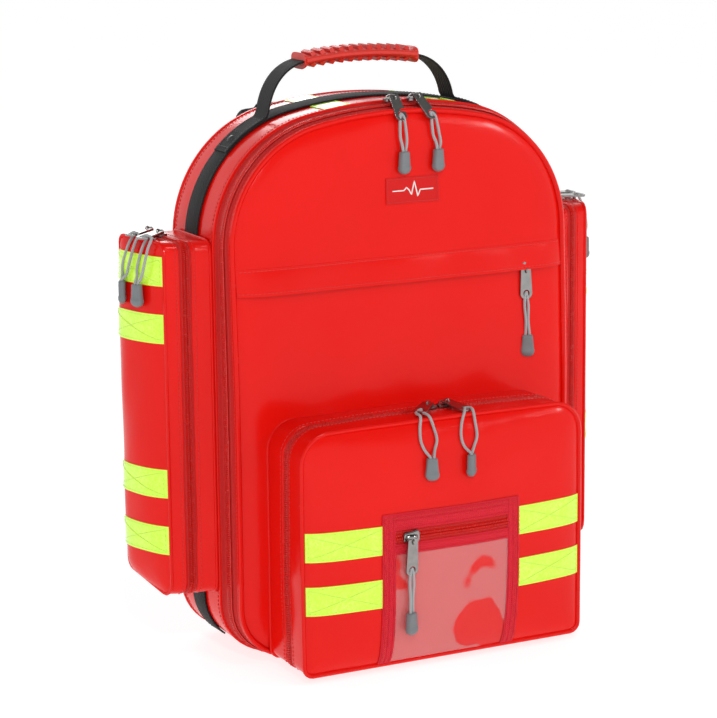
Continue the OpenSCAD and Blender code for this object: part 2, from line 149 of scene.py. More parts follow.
def coated_fabric(name, colour, deep, rough=0.17):
    """Glossy PVC over a woven scrim that shows faintly through it."""
    look = Look(name, colour, rough, Coat_Weight=0.1, Coat_Roughness=0.07, Specular_IOR_Level=0.15)
    where = look.space()
    scrim = look.maths("MULTIPLY", look.wave(where, 1.1, "X"), look.wave(where, 1.1, "Z"))
    slack = look.noise(where, 11.0)
    creases = look.noise(where, 34.0, 1.0)
    peel = look.noise(where, 520.0)
    look.tint(look.node("MapRange", Value=look.noise(where, 6.0, 3.0), From_Min=0.35,
                        From_Max=0.75, To_Min=0.0, To_Max=0.55), deep)
    look.vary_rough(look.noise(where, 38.0, 4.0), rough * 0.75, rough * 1.5)
    return look.bump((slack, 2.6), (creases, 0.35), (scrim, 0.03), (peel, 0.03)).material


def webbing(name, colour, lighter, pitch=1.5, rough=0.72):
    """Woven strap: ribs along the strip crossed by a fine twill."""
    look = Look(name, colour, rough, Sheen_Weight=0.05, Specular_IOR_Level=0.25)
    where = look.along()
    twill = look.wave(where, pitch, "DIAGONAL", 0.6)
    ribs = look.wave(where, pitch * 2.2, "Y")
    look.tint(look.maths("MULTIPLY", twill, look.noise(where, 300.0)), lighter)
    return look.bump((ribs, 0.35), (twill, 0.3)).material


def mesh_fabric(name, colour, lighter):
    """Spacer mesh: small round cells."""
    look = Look(name, colour, 0.85, Sheen_Weight=0.1)
    cells = look.node("TexVoronoi", Vector=look.space(), Scale=380.0)
    look.tint(look.node("MapRange", Value=cells, From_Min=0.0, From_Max=0.6), lighter)
    return look.bump((cells, 0.7), (look.noise(look.space(), 40.0), 0.6)).material


def cloth(name, colour, lighter, pitch=0.9, rough=0.8):
    """Plain woven cloth."""
    look = Look(name, colour, rough, Sheen_Weight=0.05, Specular_IOR_Level=0.3)
    where = look.space()
    weave = look.maths("MULTIPLY", look.wave(where, pitch, "X"), look.wave(where, pitch, "Z"))
    look.tint(weave, lighter)
    return look.bump((weave, 0.2), (look.noise(where, 30.0), 0.8)).material


def reflective(name):
    """Fluorescent prismatic tape: a fine grid of sealed cells under a clear film."""
    # The emission is a painted glow: the lime shines the same under any lamp, standing in for the
    # fluorescent tape's brightness.
    look = Look(name, (0.56, 0.93, 0.015), 0.22, Coat_Weight=0.6, Coat_Roughness=0.06,
                Emission_Color=(0.45, 0.95, 0.02, 1), Emission_Strength=0.08)
    where = look.space()
    cells = look.node("TexVoronoi", props={"feature": "DISTANCE_TO_EDGE"}, Vector=where,
                      Scale=520.0)
    # Painted glints: random cells, in patches, are tinted a paler lime to stand in for the sparkle
    # of the prisms.
    glints = look.node("TexVoronoi", out="Color", Vector=where, Scale=520.0)
    patches = look.noise(where, 45.0, 1.0)
    look.tint(look.maths("MULTIPLY", glints, patches), (0.80, 1.0, 0.16))
    return look.bump((cells, 0.12), (look.noise(where, 26.0), 1.2)).material


def metal(name, colour, rough):
    look = Look(name, colour, rough, Metallic=1.0)
    where = look.space()
    look.vary_rough(look.noise(where, 420.0, 5.0), rough * 0.6, rough * 1.7)
    look.tint(look.noise(where, 160.0), tuple(c * 0.62 for c in colour))
    return look.bump((look.noise(where, 700.0), 0.03)).material


def rubber(name, colour, rough=0.5, grain=900.0):
    look = Look(name, colour, rough)
    where = look.space()
    look.tint(look.noise(where, 90.0, 3.0), tuple(c * 0.8 for c in colour))
    look.vary_rough(look.noise(where, 200.0), rough * 0.85, rough * 1.25)
    return look.bump((look.noise(where, grain), 0.06), (look.noise(where, 120.0), 0.1)).material


def braid(name, colour, lighter):
    look = Look(name, colour, 0.65, Sheen_Weight=0.2)
    where = look.along()
    plait = look.maths("MAXIMUM", look.wave(where, 0.9, "DIAGONAL"), look.wave(where, 0.9, "X"))
    look.tint(plait, lighter)
    return look.bump((plait, 0.2)).material


def thread(name, colour):
    look = Look(name, colour, 0.55, Sheen_Weight=0.2)
    return look.bump((look.noise(look.space(), 1500.0), 0.1)).material


def clear_film(name):
    """Clear vinyl with a painted reflection: a pale pink haze stands in for its sheen, clear in
    patches.
    """
    # The pale pink colour is a painted sheen that stands in for the white reflection on the glossy
    # film.
    look = Look(name, (0.72, 0.45, 0.45), 0.07, Coat_Weight=0.5, Coat_Roughness=0.05)
    where = look.space()
    # Painted reflection: where this mask is high the pale pink layer shows as the film's sheen;
    # where it is low the film is clear over the red.
    painted_sheen_alpha = look.node("MapRange", Value=look.noise(where, 21.0, 1.5), From_Min=0.57,
                      From_Max=0.60, To_Min=0.33, To_Max=0.05)
    look.tree.links.new(painted_sheen_alpha, look.shader.inputs["Alpha"])
    look.vary_rough(look.noise(where, 60.0, 4.0), 0.05, 0.16)
    look.material.surface_render_method = "BLENDED"
    return look.bump((look.noise(where, 22.0, 1.0), 1.6)).material


RED = coated_fabric("pvc_red", (0.79, 0.006, 0.003), (0.66, 0.004, 0.002))
RED_PIPING = coated_fabric("pvc_red_piping", (0.76, 0.007, 0.004), (0.62, 0.005, 0.003), 0.22)
ZIP_TAPE = webbing("zip_tape", (0.64, 0.006, 0.005), (0.76, 0.015, 0.012), 0.7, 0.6)
ZIP_COIL = rubber("zip_coil", (0.78, 0.015, 0.010), 0.25)
RED_BINDING = webbing("binding_red", (0.70, 0.006, 0.022), (0.82, 0.02, 0.045), 0.9, 0.6)
RED_THREAD = thread("thread_red", (0.62, 0.02, 0.015))
LIME_THREAD = thread("thread_lime", (0.62, 0.9, 0.08))
WHITE_THREAD = thread("thread_white", (0.85, 0.84, 0.82))
LIME = reflective("reflective_tape")
BLACK_WEB = webbing("webbing_black", (0.006, 0.006, 0.007), (0.028, 0.027, 0.028))
BLACK_CLOTH = cloth("cloth_black", (0.018, 0.018, 0.02), (0.05, 0.05, 0.055))
BLACK_MESH = mesh_fabric("mesh_black", (0.012, 0.012, 0.014), (0.055, 0.055, 0.06))
GREY_LINING = cloth("lining_grey", (0.2, 0.21, 0.23), (0.33, 0.34, 0.37))
BLACK_PLASTIC = rubber("plastic_black", (0.016, 0.016, 0.017), 0.35)
GRIP_RED = rubber("grip_red", (0.72, 0.028, 0.016), 0.42)
NICKEL = metal("nickel", (0.38, 0.37, 0.36), 0.2)
CORD_GREY = braid("cord_grey", (0.25, 0.26, 0.27), (0.42, 0.43, 0.44))
END_GREY = rubber("end_grey", (0.19, 0.205, 0.215), 0.5)
FILM = clear_film("clear_film")


# ---------------------------------------------------------------- shape tools

def unit(v):
    v = np.asarray(v, float)
    return v / np.linalg.norm(v)


def unit_rows(v):
    v = np.asarray(v, float)
    return v / np.linalg.norm(v, axis=1)[:, None]


def axes_of(along, up):
    """Axes along, across and up at each place."""
    return np.stack([along, np.cross(up, along), up], 1)


def lengths_of(path):
    """How far along a line each of its points lies."""
    return np.concatenate([[0], np.cumsum(np.linalg.norm(np.diff(path, axis=0), axis=1))])


def read_line(path, at, values=None):
    """Points, or other values, at these lengths along a line."""
    steps = lengths_of(path)
    values = path if values is None else values
    return np.stack([np.interp(at, steps, values[:, k]) for k in range(3)], 1)


def oval(count, width, thick, square_w, square_t):
    """Offsets across and up round a section. Smaller powers fill its corners out more."""
    turns = 2 * math.pi * np.arange(count) / count
    c, s = np.cos(turns), np.sin(turns)
    return (width * np.sign(c) * np.abs(c) ** square_w, thick * np.sign(s) * np.abs(s) ** square_t)


class Shape:
    """Collects faces, in millimetres, and makes one piece of them."""

    def __init__(self):
        self.points = []
        self.faces = []
        self.uvs = []
        self.count = 0

    def grid(self, rows, close_u=False, close_v=False, caps=False):
        """Rows of points, each row the same length. u runs along a row and v across the rows."""
        rows = np.asarray(rows, float)
        nv, nu = rows.shape[:2]
        step_u = np.linalg.norm(np.roll(rows, -1, 1) - rows, axis=2).mean(0)
        step_v = np.linalg.norm(np.roll(rows, -1, 0) - rows, axis=2).mean(1)
        u = np.concatenate([[0], np.cumsum(step_u)]) * MM
        v = np.concatenate([[0], np.cumsum(step_v)]) * MM
        base = self.count
        for j in range(nv if close_v else nv - 1):
            for i in range(nu if close_u else nu - 1):
                i2, j2 = (i + 1) % nu, (j + 1) % nv
                self.faces.append([base + j * nu + i, base + j * nu + i2,
                                   base + j2 * nu + i2, base + j2 * nu + i])
                self.uvs.append([(u[i], v[j]), (u[i + 1], v[j]), (u[i + 1], v[j + 1]),
                                 (u[i], v[j + 1])])
        if caps:
            for ring in ([base + i * nu for i in range(nv)],
                         [base + i * nu + nu - 1 for i in range(nv)]):
                self.faces.append(ring)
                self.uvs.append([(0, 0)] * len(ring))
        self.points.append(rows.reshape(-1, 3))
        self.count += nu * nv
        return self

    def tube(self, path, radius, sides=8, closed=False):
        """A round bar along a path. radius may be one number or one for each point."""
        path = np.asarray(path, float)
        n = len(path)
        if closed:
            tangents = np.roll(path, -1, 0) - np.roll(path, 1, 0)
        else:
            tangents = np.gradient(path, axis=0)
        tangents /= np.linalg.norm(tangents, axis=1)[:, None]
        side = np.cross(tangents[0], (0.31, 0.87, 0.38))
        frames = []
        for t in tangents:
            side = unit(side - t * side.dot(t))
            frames.append((side, np.cross(t, side)))
        radii = np.broadcast_to(radius, n)
        turns = np.linspace(0, 2 * math.pi, sides, endpoint=False)
        if closed:       # the twist that is left over is spread along the loop
            a, b = frames[-1]
            first = frames[0][0]
            slip = math.atan2(first.dot(b), first.dot(a))
        rings = []
        for k, (a, b) in enumerate(frames):
            extra = slip * k / n if closed else 0.0
            rings.append([path[k] + radii[k] * (math.cos(w + extra) * a + math.sin(w + extra) * b)
                          for w in turns])
        return self.grid(np.transpose(rings, (1, 0, 2)), close_u=closed, close_v=True,
                         caps=not closed)

    def strip(self, path, across, width, thick):
        """Flat webbing with softly rounded edges along a path. across is its width's direction."""
        path = np.asarray(path, float)
        across = unit_rows(np.broadcast_to(np.asarray(across, float), path.shape))
        up = unit_rows(np.cross(np.gradient(path, axis=0), across))
        h, w = thick / 2, width / 2
        section = [(-w, -h * 0.4), (-w, h * 0.4), (-w + 0.7, h), (-w / 2, h * 1.05), (0, h),
                   (w / 2, h * 1.05), (w - 0.7, h), (w, h * 0.4), (w, -h * 0.4),
                   (w - 0.7, -h), (0, -h), (-w + 0.7, -h)]
        return self.grid([path + across * a + up * b for a, b in section], close_v=True, caps=True)

    def boxes(self, centres, axes, size, taper=1.0):
        """Many small blocks: centres (n, 3), axes (n, 3, 3) with one row per direction."""
        centres = np.asarray(centres, float)
        signs = np.array([(x, y, z) for z in (-1, 1) for x, y in
                          ((-1, -1), (1, -1), (1, 1), (-1, 1))], float)
        half = signs * np.asarray(size, float) / 2
        half[signs[:, 2] > 0, :2] *= taper
        verts = centres[:, None] + np.einsum("kc,ncd->nkd", half, np.asarray(axes, float))
        quads = [(0, 3, 2, 1), (4, 5, 6, 7), (0, 1, 5, 4), (1, 2, 6, 5), (2, 3, 7, 6), (3, 0, 4, 7)]
        for k in range(len(centres)):
            for q in quads:
                self.faces.append([self.count + 8 * k + i for i in q])
                self.uvs.append([(0, 0)] * 4)
        self.points.append(verts.reshape(-1, 3))
        self.count += 8 * len(centres)
        return self

    def loft(self, rings):
        """Closed rings of points, one after another, with both ends capped."""
        rings = np.asarray(rings, float)
        return self.grid(np.transpose(rings, (1, 0, 2)), close_v=True, caps=True)

    def make(self, name, material, body, slot=None, replaces=(), smooth=38, bevel=0.0):
        """Builds the piece, and rides it on a CAD body. slot is not used."""
        mesh = bpy.data.meshes.new(name)
        points = np.concatenate(self.points) * MM
        mesh.from_pydata(points.tolist(), [], self.faces)
        layer = mesh.uv_layers.new(name="UVMap")
        layer.data.foreach_set("uv", np.array([c for f in self.uvs for c in f], float).ravel())
        tidy = bmesh.new()
        tidy.from_mesh(mesh)
        bmesh.ops.recalc_face_normals(tidy, faces=tidy.faces)
        tidy.to_mesh(mesh)
        tidy.free()
        mesh.materials.append(material)
        mesh.shade_smooth()
        mesh.set_sharp_from_angle(angle=math.radians(smooth))
        piece = bpy.data.objects.new(name, mesh)
        bpy.context.scene.collection.objects.link(piece)
        if bevel:
            modifier = piece.modifiers.new("edge", "BEVEL")
            modifier.width = bevel * MM
            modifier.segments = 3
            modifier.limit_method = "ANGLE"
            modifier.harden_normals = True
        if body:
            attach(piece, body)
        if replaces:
            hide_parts(*replaces)
        return piece


def rounded(corners):
    """Arcs (centre u, centre v, radius, first angle, last angle) for the corners (u, v, radius)
    of an outline that runs counter-clockwise."""
    arcs = []
    for i, (u, v, r) in enumerate(corners):
        here = np.array((u, v), float)
        a = unit(here - np.array(corners[i - 1][:2]))
        b = unit(np.array(corners[(i + 1) % len(corners)][:2]) - here)
        turn = math.acos(np.clip(a.dot(b), -1, 1))
        centre = here - a * r * math.tan(turn / 2) + np.array((-a[1], a[0])) * r
        angle = math.atan2(-a[0], a[1])
        arcs.append((centre[0], centre[1], r, angle, angle + turn))
    return arcs


class Outline:
    """A closed outline of arcs joined by straight lines, counter-clockwise."""

    def __init__(self, arcs, place, step=6.0, low=1.0):
        self.place = place
        self.low = low          # how much of an outward step the downward side takes
        runs = []
        for u, v, r, start, end in arcs:
            steps = max(4, int(r * (end - start) / step))
            runs.append([(np.array((u + r * math.cos(w), v + r * math.sin(w))),
                          np.array((math.cos(w), math.sin(w))))
                         for w in np.linspace(start, end, steps + 1)])
        points = []
        for i, run in enumerate(runs):
            start, normal = run[-1]
            end = runs[(i + 1) % len(runs)][0][0]
            gap = np.linalg.norm(end - start)
            points += run if gap > 0.01 else run[:-1]
            steps = max(1, int(gap / step))
            points += [(start + (end - start) * k / steps, normal) for k in range(1, steps)]
        self.uv = np.array([p for p, _ in points])
        self.normal = np.array([n for _, n in points])

    def inside(self, u, v):
        """How far points lie from the outline."""
        spot = np.stack([np.ravel(u), np.ravel(v)], 1)[:, None]
        start = self.uv[None]
        edge = np.roll(self.uv, -1, 0)[None] - start
        share = ((spot - start) * edge).sum(2) / (edge ** 2).sum(2)
        gap = spot - start - np.clip(share, 0, 1)[..., None] * edge
        return np.sqrt((gap ** 2).sum(2)).min(1).reshape(np.shape(u))

    def loop(self, depth, out, bulge=None):
        """The outline at this depth, grown by out."""
        grow = self.normal.copy()
        grow[:, 1] *= np.where(grow[:, 1] < 0, self.low, 1.0)
        amount = np.full(len(self.uv), float(out))
        if bulge is not None:
            amount = amount + bulge(self.uv, self.normal, depth)
        return self.place(self.uv + grow * amount[:, None], depth)

    def span(self, v):
        """Lowest and highest u of the outline at height v."""
        top = np.argmax(self.uv[:, 1])
        sides = []
        for run in (np.roll(self.uv, -top, 0), np.roll(self.uv, -top - 1, 0)[::-1]):
            part = run[:np.argmin(run[:, 1]) + 1][::-1]
            sides.append(np.interp(v, part[:, 1], part[:, 0]))
        return min(sides), max(sides)

    def spaced(self, pitch, depth, out, bulge=None):
        """Places at an even pitch round the outline, with their directions along and outward."""
        loops = [self.loop(depth, out + grow, bulge) for grow in (0.0, 1.0)]
        closed, outer = (np.vstack([p, p[:1]]) for p in loops)
        total = lengths_of(closed)[-1]
        count = int(total / pitch)
        at = (np.arange(count) + 0.5) * total / count
        where = read_line(closed, at)
        up = unit_rows(read_line(closed, at, outer - closed))
        return where, unit_rows(read_line(closed, (at + 0.5) % total) - where), up


def band(outline, stations, bulge=None):
    """A closed shell of fabric round an outline. stations are (depth, out) round its section."""
    return Shape().grid([outline.loop(d, o, bulge) for d, o in stations], close_u=True,
                        close_v=True)


def fabric_stations(edges, thick, count=8):
    """Section of a fabric band through the (depth, out) points, with a thickness."""
    edges = np.array(edges, float)
    places = np.linspace(0, 1, len(edges))
    d, o = (np.interp(np.linspace(0, 1, count), places, edges[:, k]) for k in (0, 1))
    return [*zip(d, o), *zip(d[::-1], o[::-1] - thick)]


def stitches(shape, where, along, up, length=2.5):
    """One short thread at each place."""
    return shape.boxes(where, axes_of(along, up), (length, THREAD, THREAD), 0.6)


def stitch_path(shape, path, up, pitch=SEAM, length=2.5):
    """A row of stitches along a line of points on a surface that faces up."""
    path = np.asarray(path, float)
    total = lengths_of(path)[-1]
    count = max(1, int(total / pitch))
    at = (np.arange(count) + 0.5) * total / count
    along = unit_rows(read_line(path, at + 0.4) - read_line(path, at - 0.4))
    ups = np.broadcast_to(np.asarray(up, float), along.shape)
    return stitches(shape, read_line(path, at), along, ups, length)


def sew(name, body, slot, *rows, colour=None):
    """Seams as one piece. Each row holds places with their directions along and up."""
    seam = Shape()
    for row in rows:
        stitches(seam, *row)
    return seam.make(name, colour or RED_THREAD, body, slot)


def ripple(a, b, seed):
    """Gentle waves of slack fabric, about -1 to 1, from two coordinates in millimetres."""
    return (np.sin(a / 31.0 + seed) * np.sin(b / 43.0 + 2.1 * seed)
            + 0.6 * np.sin(a / 17.0 - b / 29.0 + 1.3 * seed)
            + 0.4 * np.sin(a / 11.0 + b / 13.0 + 0.7 * seed)) / 1.6


def curve(p, t):
    """Points on a cubic curve with four control points."""
    p = np.asarray(p, float)
    t = np.asarray(t, float)[:, None]
    s = 1 - t
    return s ** 3 * p[0] + 3 * t * s ** 2 * p[1] + 3 * t * t * s * p[2] + t ** 3 * p[3]


def spline(points, count=40):
    """A smooth line through the points, sampled evenly by parameter."""
    p = np.asarray(points, float)
    p = np.vstack([2 * p[0] - p[1], p, 2 * p[-1] - p[-2]])
    out = []
    spans = len(p) - 3
    for s in np.linspace(0, spans - 1e-6, count):
        i, t = int(s), s - int(s)
        a, b, c, d = p[i:i + 4]
        out.append(0.5 * (2 * b + (c - a) * t + (2 * a - 5 * b + 4 * c - d) * t * t
                          + (3 * b - a - 3 * c + d) * t ** 3))
    return np.array(out)


def flat_face(uv, depth):
    """Places an outline on a plane that faces the front."""
    return np.stack([uv[:, 0], np.broadcast_to(depth, len(uv)), uv[:, 1]], 1)


def side_warp(y, depth):
    """A side pocket's front edge is drawn in, and its outer face turns a little forwards."""
    share = np.clip((y - side_front) / (side_back - side_front), 0, 1)
    grow = np.clip((depth - side_in) / (side_edge - side_in), 0, 1.3)
    return y + 12.0 * grow * (1 - share), depth + grow * (6.5 * share - 6.4 * (1 - share))


def side_face(sign):
    """Places an outline on a plane that faces the left (-1) or the right (1)."""
    def place(uv, depth):
        y, x = side_warp(uv[:, 0], np.broadcast_to(depth, len(uv)))
        return np.stack([sign * x, y, uv[:, 1]], 1)
    return place


# ---------------------------------------------------------------- dimensions from the frame

PANEL = corners_of("front_panel")
GUSSET = corners_of("main_gusset")
LID = corners_of("front_pocket_lid")
POCKET_BACK = corners_of("front_pocket_body")
SIDE_LID = corners_of("right_pocket_lid")
SIDE_BODY = corners_of("right_pocket_body")
FLAP = corners_of("weather_flap")

half_w = PANEL[1][0] - 1.5
panel_low = PANEL[0][2] + 1.5
panel_top = PANEL[1][2] - 1.5
panel_y = PANEL[0][1]
gusset_y, rear_y = GUSSET[0][1], GUSSET[1][1]
gusset_out = GUSSET[1][0] - half_w
split_y = (corners_of("main_zip_rear")[0][1] + corners_of("main_zip_front")[1][1]) / 2
low_share = (panel_low - GUSSET[0][2]) / gusset_out

pocket_w = LID[1][0]
pocket_low, pocket_top = LID[0][2], LID[1][2]
pocket_front = LID[0][1]
pocket_bulge = 15.0         # how far the front pocket's face stands past its piping
pocket_edge = pocket_front + pocket_bulge
pocket_split = (corners_of("front_zip_rear")[0][1] + corners_of("front_zip_front")[1][1]) / 2
pocket_mid = (pocket_low + pocket_top) / 2
pocket_half = (pocket_top - pocket_low) / 2

side_front, side_back = SIDE_LID[0][1], SIDE_LID[1][1]
side_low, side_top = SIDE_LID[0][2], SIDE_LID[1][2]
side_rise = 17.0            # how much higher a side pocket's bottom is at the back
side_in = SIDE_BODY[0][0]
side_split = (SIDE_BODY[1][0] + SIDE_LID[0][0]) / 2
side_bulge = 12.0           # how far its outer face stands past its seam
side_edge = SIDE_LID[1][0] - side_bulge
side_mid_y = (side_front + side_back) / 2
side_mid_z = (side_low + side_top) / 2

crown_r, shoulder_r, corner_r = 382.0, 101.0, 44.0     # the arcs of the arch, as in the CAD
crown_z = panel_top - crown_r
shoulder_x = half_w - shoulder_r
shoulder_z = crown_z + math.sqrt((crown_r - shoulder_r) ** 2 - shoulder_x ** 2)
shoulder_turn = math.atan2(shoulder_z - crown_z, shoulder_x)
lean_back = 8.0             # how far the loaded bag's top edge settles back
lean_from, lean_over = 200.0, 260.0         # height where that starts, and its reach
bag_mid = 250.0             # height of the middle of the arch
quarter = math.pi / 2


def smooth_step(t):
    t = np.clip(t, 0, 1)
    return t * t * (3 - 2 * t)


def lean(z, depth):
    """The front of the bag settles back towards its top."""
    share = np.clip((gusset_y - depth) / (gusset_y - panel_y), 0, 1)
    return lean_back * smooth_step((np.asarray(z, float) - lean_from) / lean_over) * share


def arch_face(uv, depth):
    """Places the arch's outline on a plane that faces the front."""
    depth = np.broadcast_to(depth, len(uv))
    return np.stack([uv[:, 0], depth + lean(uv[:, 1], depth), uv[:, 1]], 1)


def arch_top(x, out):
    """Height of the arch over x, grown by out."""
    x = np.abs(np.asarray(x, float))
    crown = crown_z + np.sqrt((crown_r + out) ** 2 - x ** 2)
    over = np.clip(x - shoulder_x, 0, shoulder_r + out)
    shoulder = shoulder_z + np.sqrt((shoulder_r + out) ** 2 - over ** 2)
    return np.where(x < (crown_r + out) * math.cos(shoulder_turn), crown, shoulder)


ARCH = Outline([
    (half_w - corner_r, panel_low + corner_r, corner_r, -quarter, 0),
    (shoulder_x, shoulder_z, shoulder_r, 0, shoulder_turn),
    (0, crown_z, crown_r, shoulder_turn, math.pi - shoulder_turn),
    (-shoulder_x, shoulder_z, shoulder_r, math.pi - shoulder_turn, math.pi),
    (corner_r - half_w, panel_low + corner_r, corner_r, math.pi, 3 * quarter),
], arch_face, low=low_share)
POCKET = Outline(rounded([(-pocket_w, pocket_low, 8), (pocket_w, pocket_low, 8),
                          (pocket_w, pocket_top, 25), (-pocket_w, pocket_top, 25)]), flat_face)


def side_outline(sign):
    return Outline(rounded([(side_front, side_low, 12), (side_back, side_low + side_rise, 10),
                            (side_back, side_top, 6), (side_front, side_top, 10)]),
                   side_face(sign))


def rolled(distance, depth, width):
    """How far a padded face stands out at this distance from its piping."""
    return depth * (1 - np.exp(-np.asarray(distance) / width))


# ---------------------------------------------------------------- camera, lights, floor

def build_stage():
    """The camera where the bag fills the frame from the front left, a floor and soft light."""
    position = Vector((-1.0769, -2.0627, 0.7443))
    right = Vector((0.88834, -0.45908, -0.01005))
    up = Vector((0.10527, 0.18229, 0.97759))
    back = right.cross(up)
    camera = bpy.data.cameras.new("camera")
    camera.sensor_width = 36.0
    camera.lens = 135.4
    camera.clip_end = 50.0
    holder = bpy.data.objects.new("camera", camera)
    turn = Matrix((right, up, back)).transposed()
    holder.matrix_world = Matrix.Translation(position) @ turn.to_4x4()
    bpy.context.scene.collection.objects.link(holder)
    bpy.context.scene.camera = holder

    def lamp(name, place, target, size, power, wide=1.0):
        light = bpy.data.lights.new(name, "AREA")
        light.shape = "RECTANGLE"
        light.size = size * wide
        light.size_y = size
        light.energy = power
        made = bpy.data.objects.new(name, light)
        made.location = place
        made.rotation_euler = (Vector(target) - Vector(place)).to_track_quat("-Z", "Y").to_euler()
        bpy.context.scene.collection.objects.link(made)

    middle = (0, 0, 0.25)
    lamp("key", (-0.9, -2.0, 1.7), middle, 0.22, 15)
    lamp("top", (0.0, -1.1, 2.1), middle, 0.2, 6, 2.4)
    lamp("fill", (1.7, -1.7, 1.3), middle, 0.26, 9)
    lamp("left", (-2.2, 0.2, 0.9), middle, 0.5, 2)
    lamp("back", (0.6, 2.2, 1.3), middle, 0.8, 7)

    world = bpy.data.worlds.new("studio")
    world.use_nodes = True
    nodes, links = world.node_tree.nodes, world.node_tree.links
    away = nodes.new("ShaderNodeTexCoord")
    parts = nodes.new("ShaderNodeSeparateXYZ")
    either = nodes.new("ShaderNodeMath")
    either.operation = "MAXIMUM"
    links.new(away.outputs["Generated"], parts.inputs[0])
    # white behind the bag and near the horizon, dim above and in front
    for slot, axis, first, last in ((0, "Y", 0.1, 0.8), (1, "Z", 0.42, 0.2)):
        glow = nodes.new("ShaderNodeMapRange")
        glow.inputs["From Min"].default_value = first
        glow.inputs["From Max"].default_value = last
        glow.inputs["To Min"].default_value = 0.22
        glow.inputs["To Max"].default_value = 1.06
        links.new(parts.outputs[axis], glow.inputs["Value"])
        links.new(glow.outputs[0], either.inputs[slot])
    links.new(either.outputs[0], nodes["Background"].inputs[1])
    nodes["Background"].inputs[0].default_value = (1.0, 1.0, 1.0, 1)
    bpy.context.scene.world = world
    bpy.context.scene.view_settings.view_transform = "Standard"

    floor = bpy.data.meshes.new("floor")
    reach = 12.0
    floor.from_pydata([(-reach, -reach, 0), (reach, -reach, 0), (reach, reach, 0),
                       (-reach, reach, 0)], [], [(0, 1, 2, 3)])
    pale = Look("floor", (0.42, 0.42, 0.42), 0.9, Emission_Color=(1, 1, 1, 1),
                Emission_Strength=0.78, Specular_IOR_Level=0.1)
    floor.materials.append(pale.material)
    ground = bpy.data.objects.new("floor", floor)
    bpy.context.scene.collection.objects.link(ground)


# ---------------------------------------------------------------- zips and seams

def zip_teeth(outline, pitch, depth, out, size, way, bulge=None):
    """A row of coil teeth. The rows of the two halves stand half a tooth apart."""
    where, along, up = outline.spaced(pitch, depth, out, bulge)
    shift = along * (pitch / 2 if way > 0 else 0.0)
    return Shape().boxes(where + shift, axes_of(along, up), size, 0.55)


def main_zip(name, body, edge, way):
    """One side of the main zip: its tape, its coil and the seams on the tape.
    edge is (depth, out) where the tape meets the fabric."""
    edge, split = np.array(edge, float), np.array((split_y, 4.4))
    tooth, width = 1.7, 3.0
    band(ARCH, fabric_stations([edge, split + (edge - split) * 0.08], 0.9, 5)).make(
        name + "_tape", ZIP_TAPE, body, replaces=(name,))
    coil = zip_teeth(ARCH, tooth, split[0] + way * width * 0.46, split[1] + 0.9,
                     (tooth * 0.72, width, 1.9), way)
    rail = ARCH.spaced(8.0, split[0] + way * (width + 0.3), split[1] + 0.55)[0]
    coil.tube(rail, 0.55, 6, closed=True)
    coil.make(name + "_coil", ZIP_COIL, body, smooth=60)
    lines = [split + (edge - split) * share for share in (0.42, 0.86)]
    sew(name + "_stitches", body, "zip_red", *[ARCH.spaced(ZIP_SEAM, d, o + 0.2) for d, o in lines])


def pocket_zip(name, body, outline, edge, split, way, out, teeth_out, tall, bulge=None):
    """One side of a pocket's zip, from the fabric's edge to the split: tape and coil."""
    tape = fabric_stations([(edge, out), (split + 0.7 * way, out)], 0.8, 4)
    band(outline, tape, bulge).make(name + "_tape", ZIP_TAPE, body, replaces=(name,))
    zip_teeth(outline, TOOTH, split + way * 1.3, teeth_out, (1.15, 2.6, tall), way, bulge).make(
        name + "_coil", ZIP_COIL, body, smooth=60)


def bead(name, body, outline, depth, out, radius, bulge=None):
    """Piping round an outline."""
    Shape().tube(outline.loop(depth, out, bulge), radius, 8, closed=True).make(
        name, RED_PIPING, body)


def slider_shape(centre, along, up):
    """A zip slider: two plates joined by a neck, flared wings and the bridge for the tab."""
    centre, along, up = np.asarray(centre, float), unit(along), unit(up)
    across = np.cross(up, along)
    rings = []
    for x, w in ((-7.2, 2.2), (-6.4, 3.6), (-3, 4.2), (1.5, 4.6), (4.8, 5.4), (6.6, 5.0),
                 (7.2, 3.6)):
        section = [(-w, 0.4), (-w, 2.2), (1.0 - w, 2.9), (w - 1.0, 2.9), (w, 2.2), (w, 0.4),
                   (w - 0.8, 0), (0.8 - w, 0)]
        rings.append([centre + along * x + across * a + up * b for a, b in section])
    bridge = [(-5.0, 2.4), (-4.6, 4.2), (-2.6, 5.3), (0.5, 5.6), (3.2, 5.0), (4.6, 3.6), (4.9, 2.4)]
    shape = Shape().loft(rings)
    return shape.strip([centre + along * a + up * b for a, b in bridge], across, 3.0, 1.1)


def tab_shape(shape, top, tip, face):
    """A stamped pull tab from its eye at top to the wide hole at tip. face is its normal."""
    top, tip = np.asarray(top, float), np.asarray(tip, float)
    length = np.linalg.norm(tip - top)
    run = (tip - top) / length
    face = unit(np.asarray(face) - run * np.dot(face, run))
    across = np.cross(face, run)
    hole_at, hole_r, half_wide, thick, rows = length - 4.4, 3.1, 6.0, 0.9, 44
    outer, inner = [], []
    for w in 2 * math.pi * np.arange(rows) / rows:      # the hole's rim and the tab's rim
        c, s = math.cos(w), math.sin(w)
        inner.append((hole_at + hole_r * c, hole_r * s))
        if c >= 0:
            outer.append((hole_at + 5.2 * c, half_wide * s))
        else:
            back = hole_at * min(1.0, -c * 1.18)
            taper = half_wide - 1.2 * back / hole_at
            outer.append((hole_at - back, math.copysign(min(abs(s) * 9.0, taper), s)))
    rings = [[top + run * a + across * b + face * height for a, b in rim]
             for rim, height in ((inner, -thick), (outer, -thick), (outer, thick), (inner, thick))]
    shape.grid(rings, close_u=True, close_v=True)
    eye = [top + run * (2.6 + 1.9 * math.cos(w)) + face * (1.0 + 1.4 * math.sin(w))
           for w in np.linspace(0, 2 * math.pi, 14, endpoint=False)]
    shape.tube(eye, 0.75, 6, closed=True)
    return top + run * hole_at, across, face


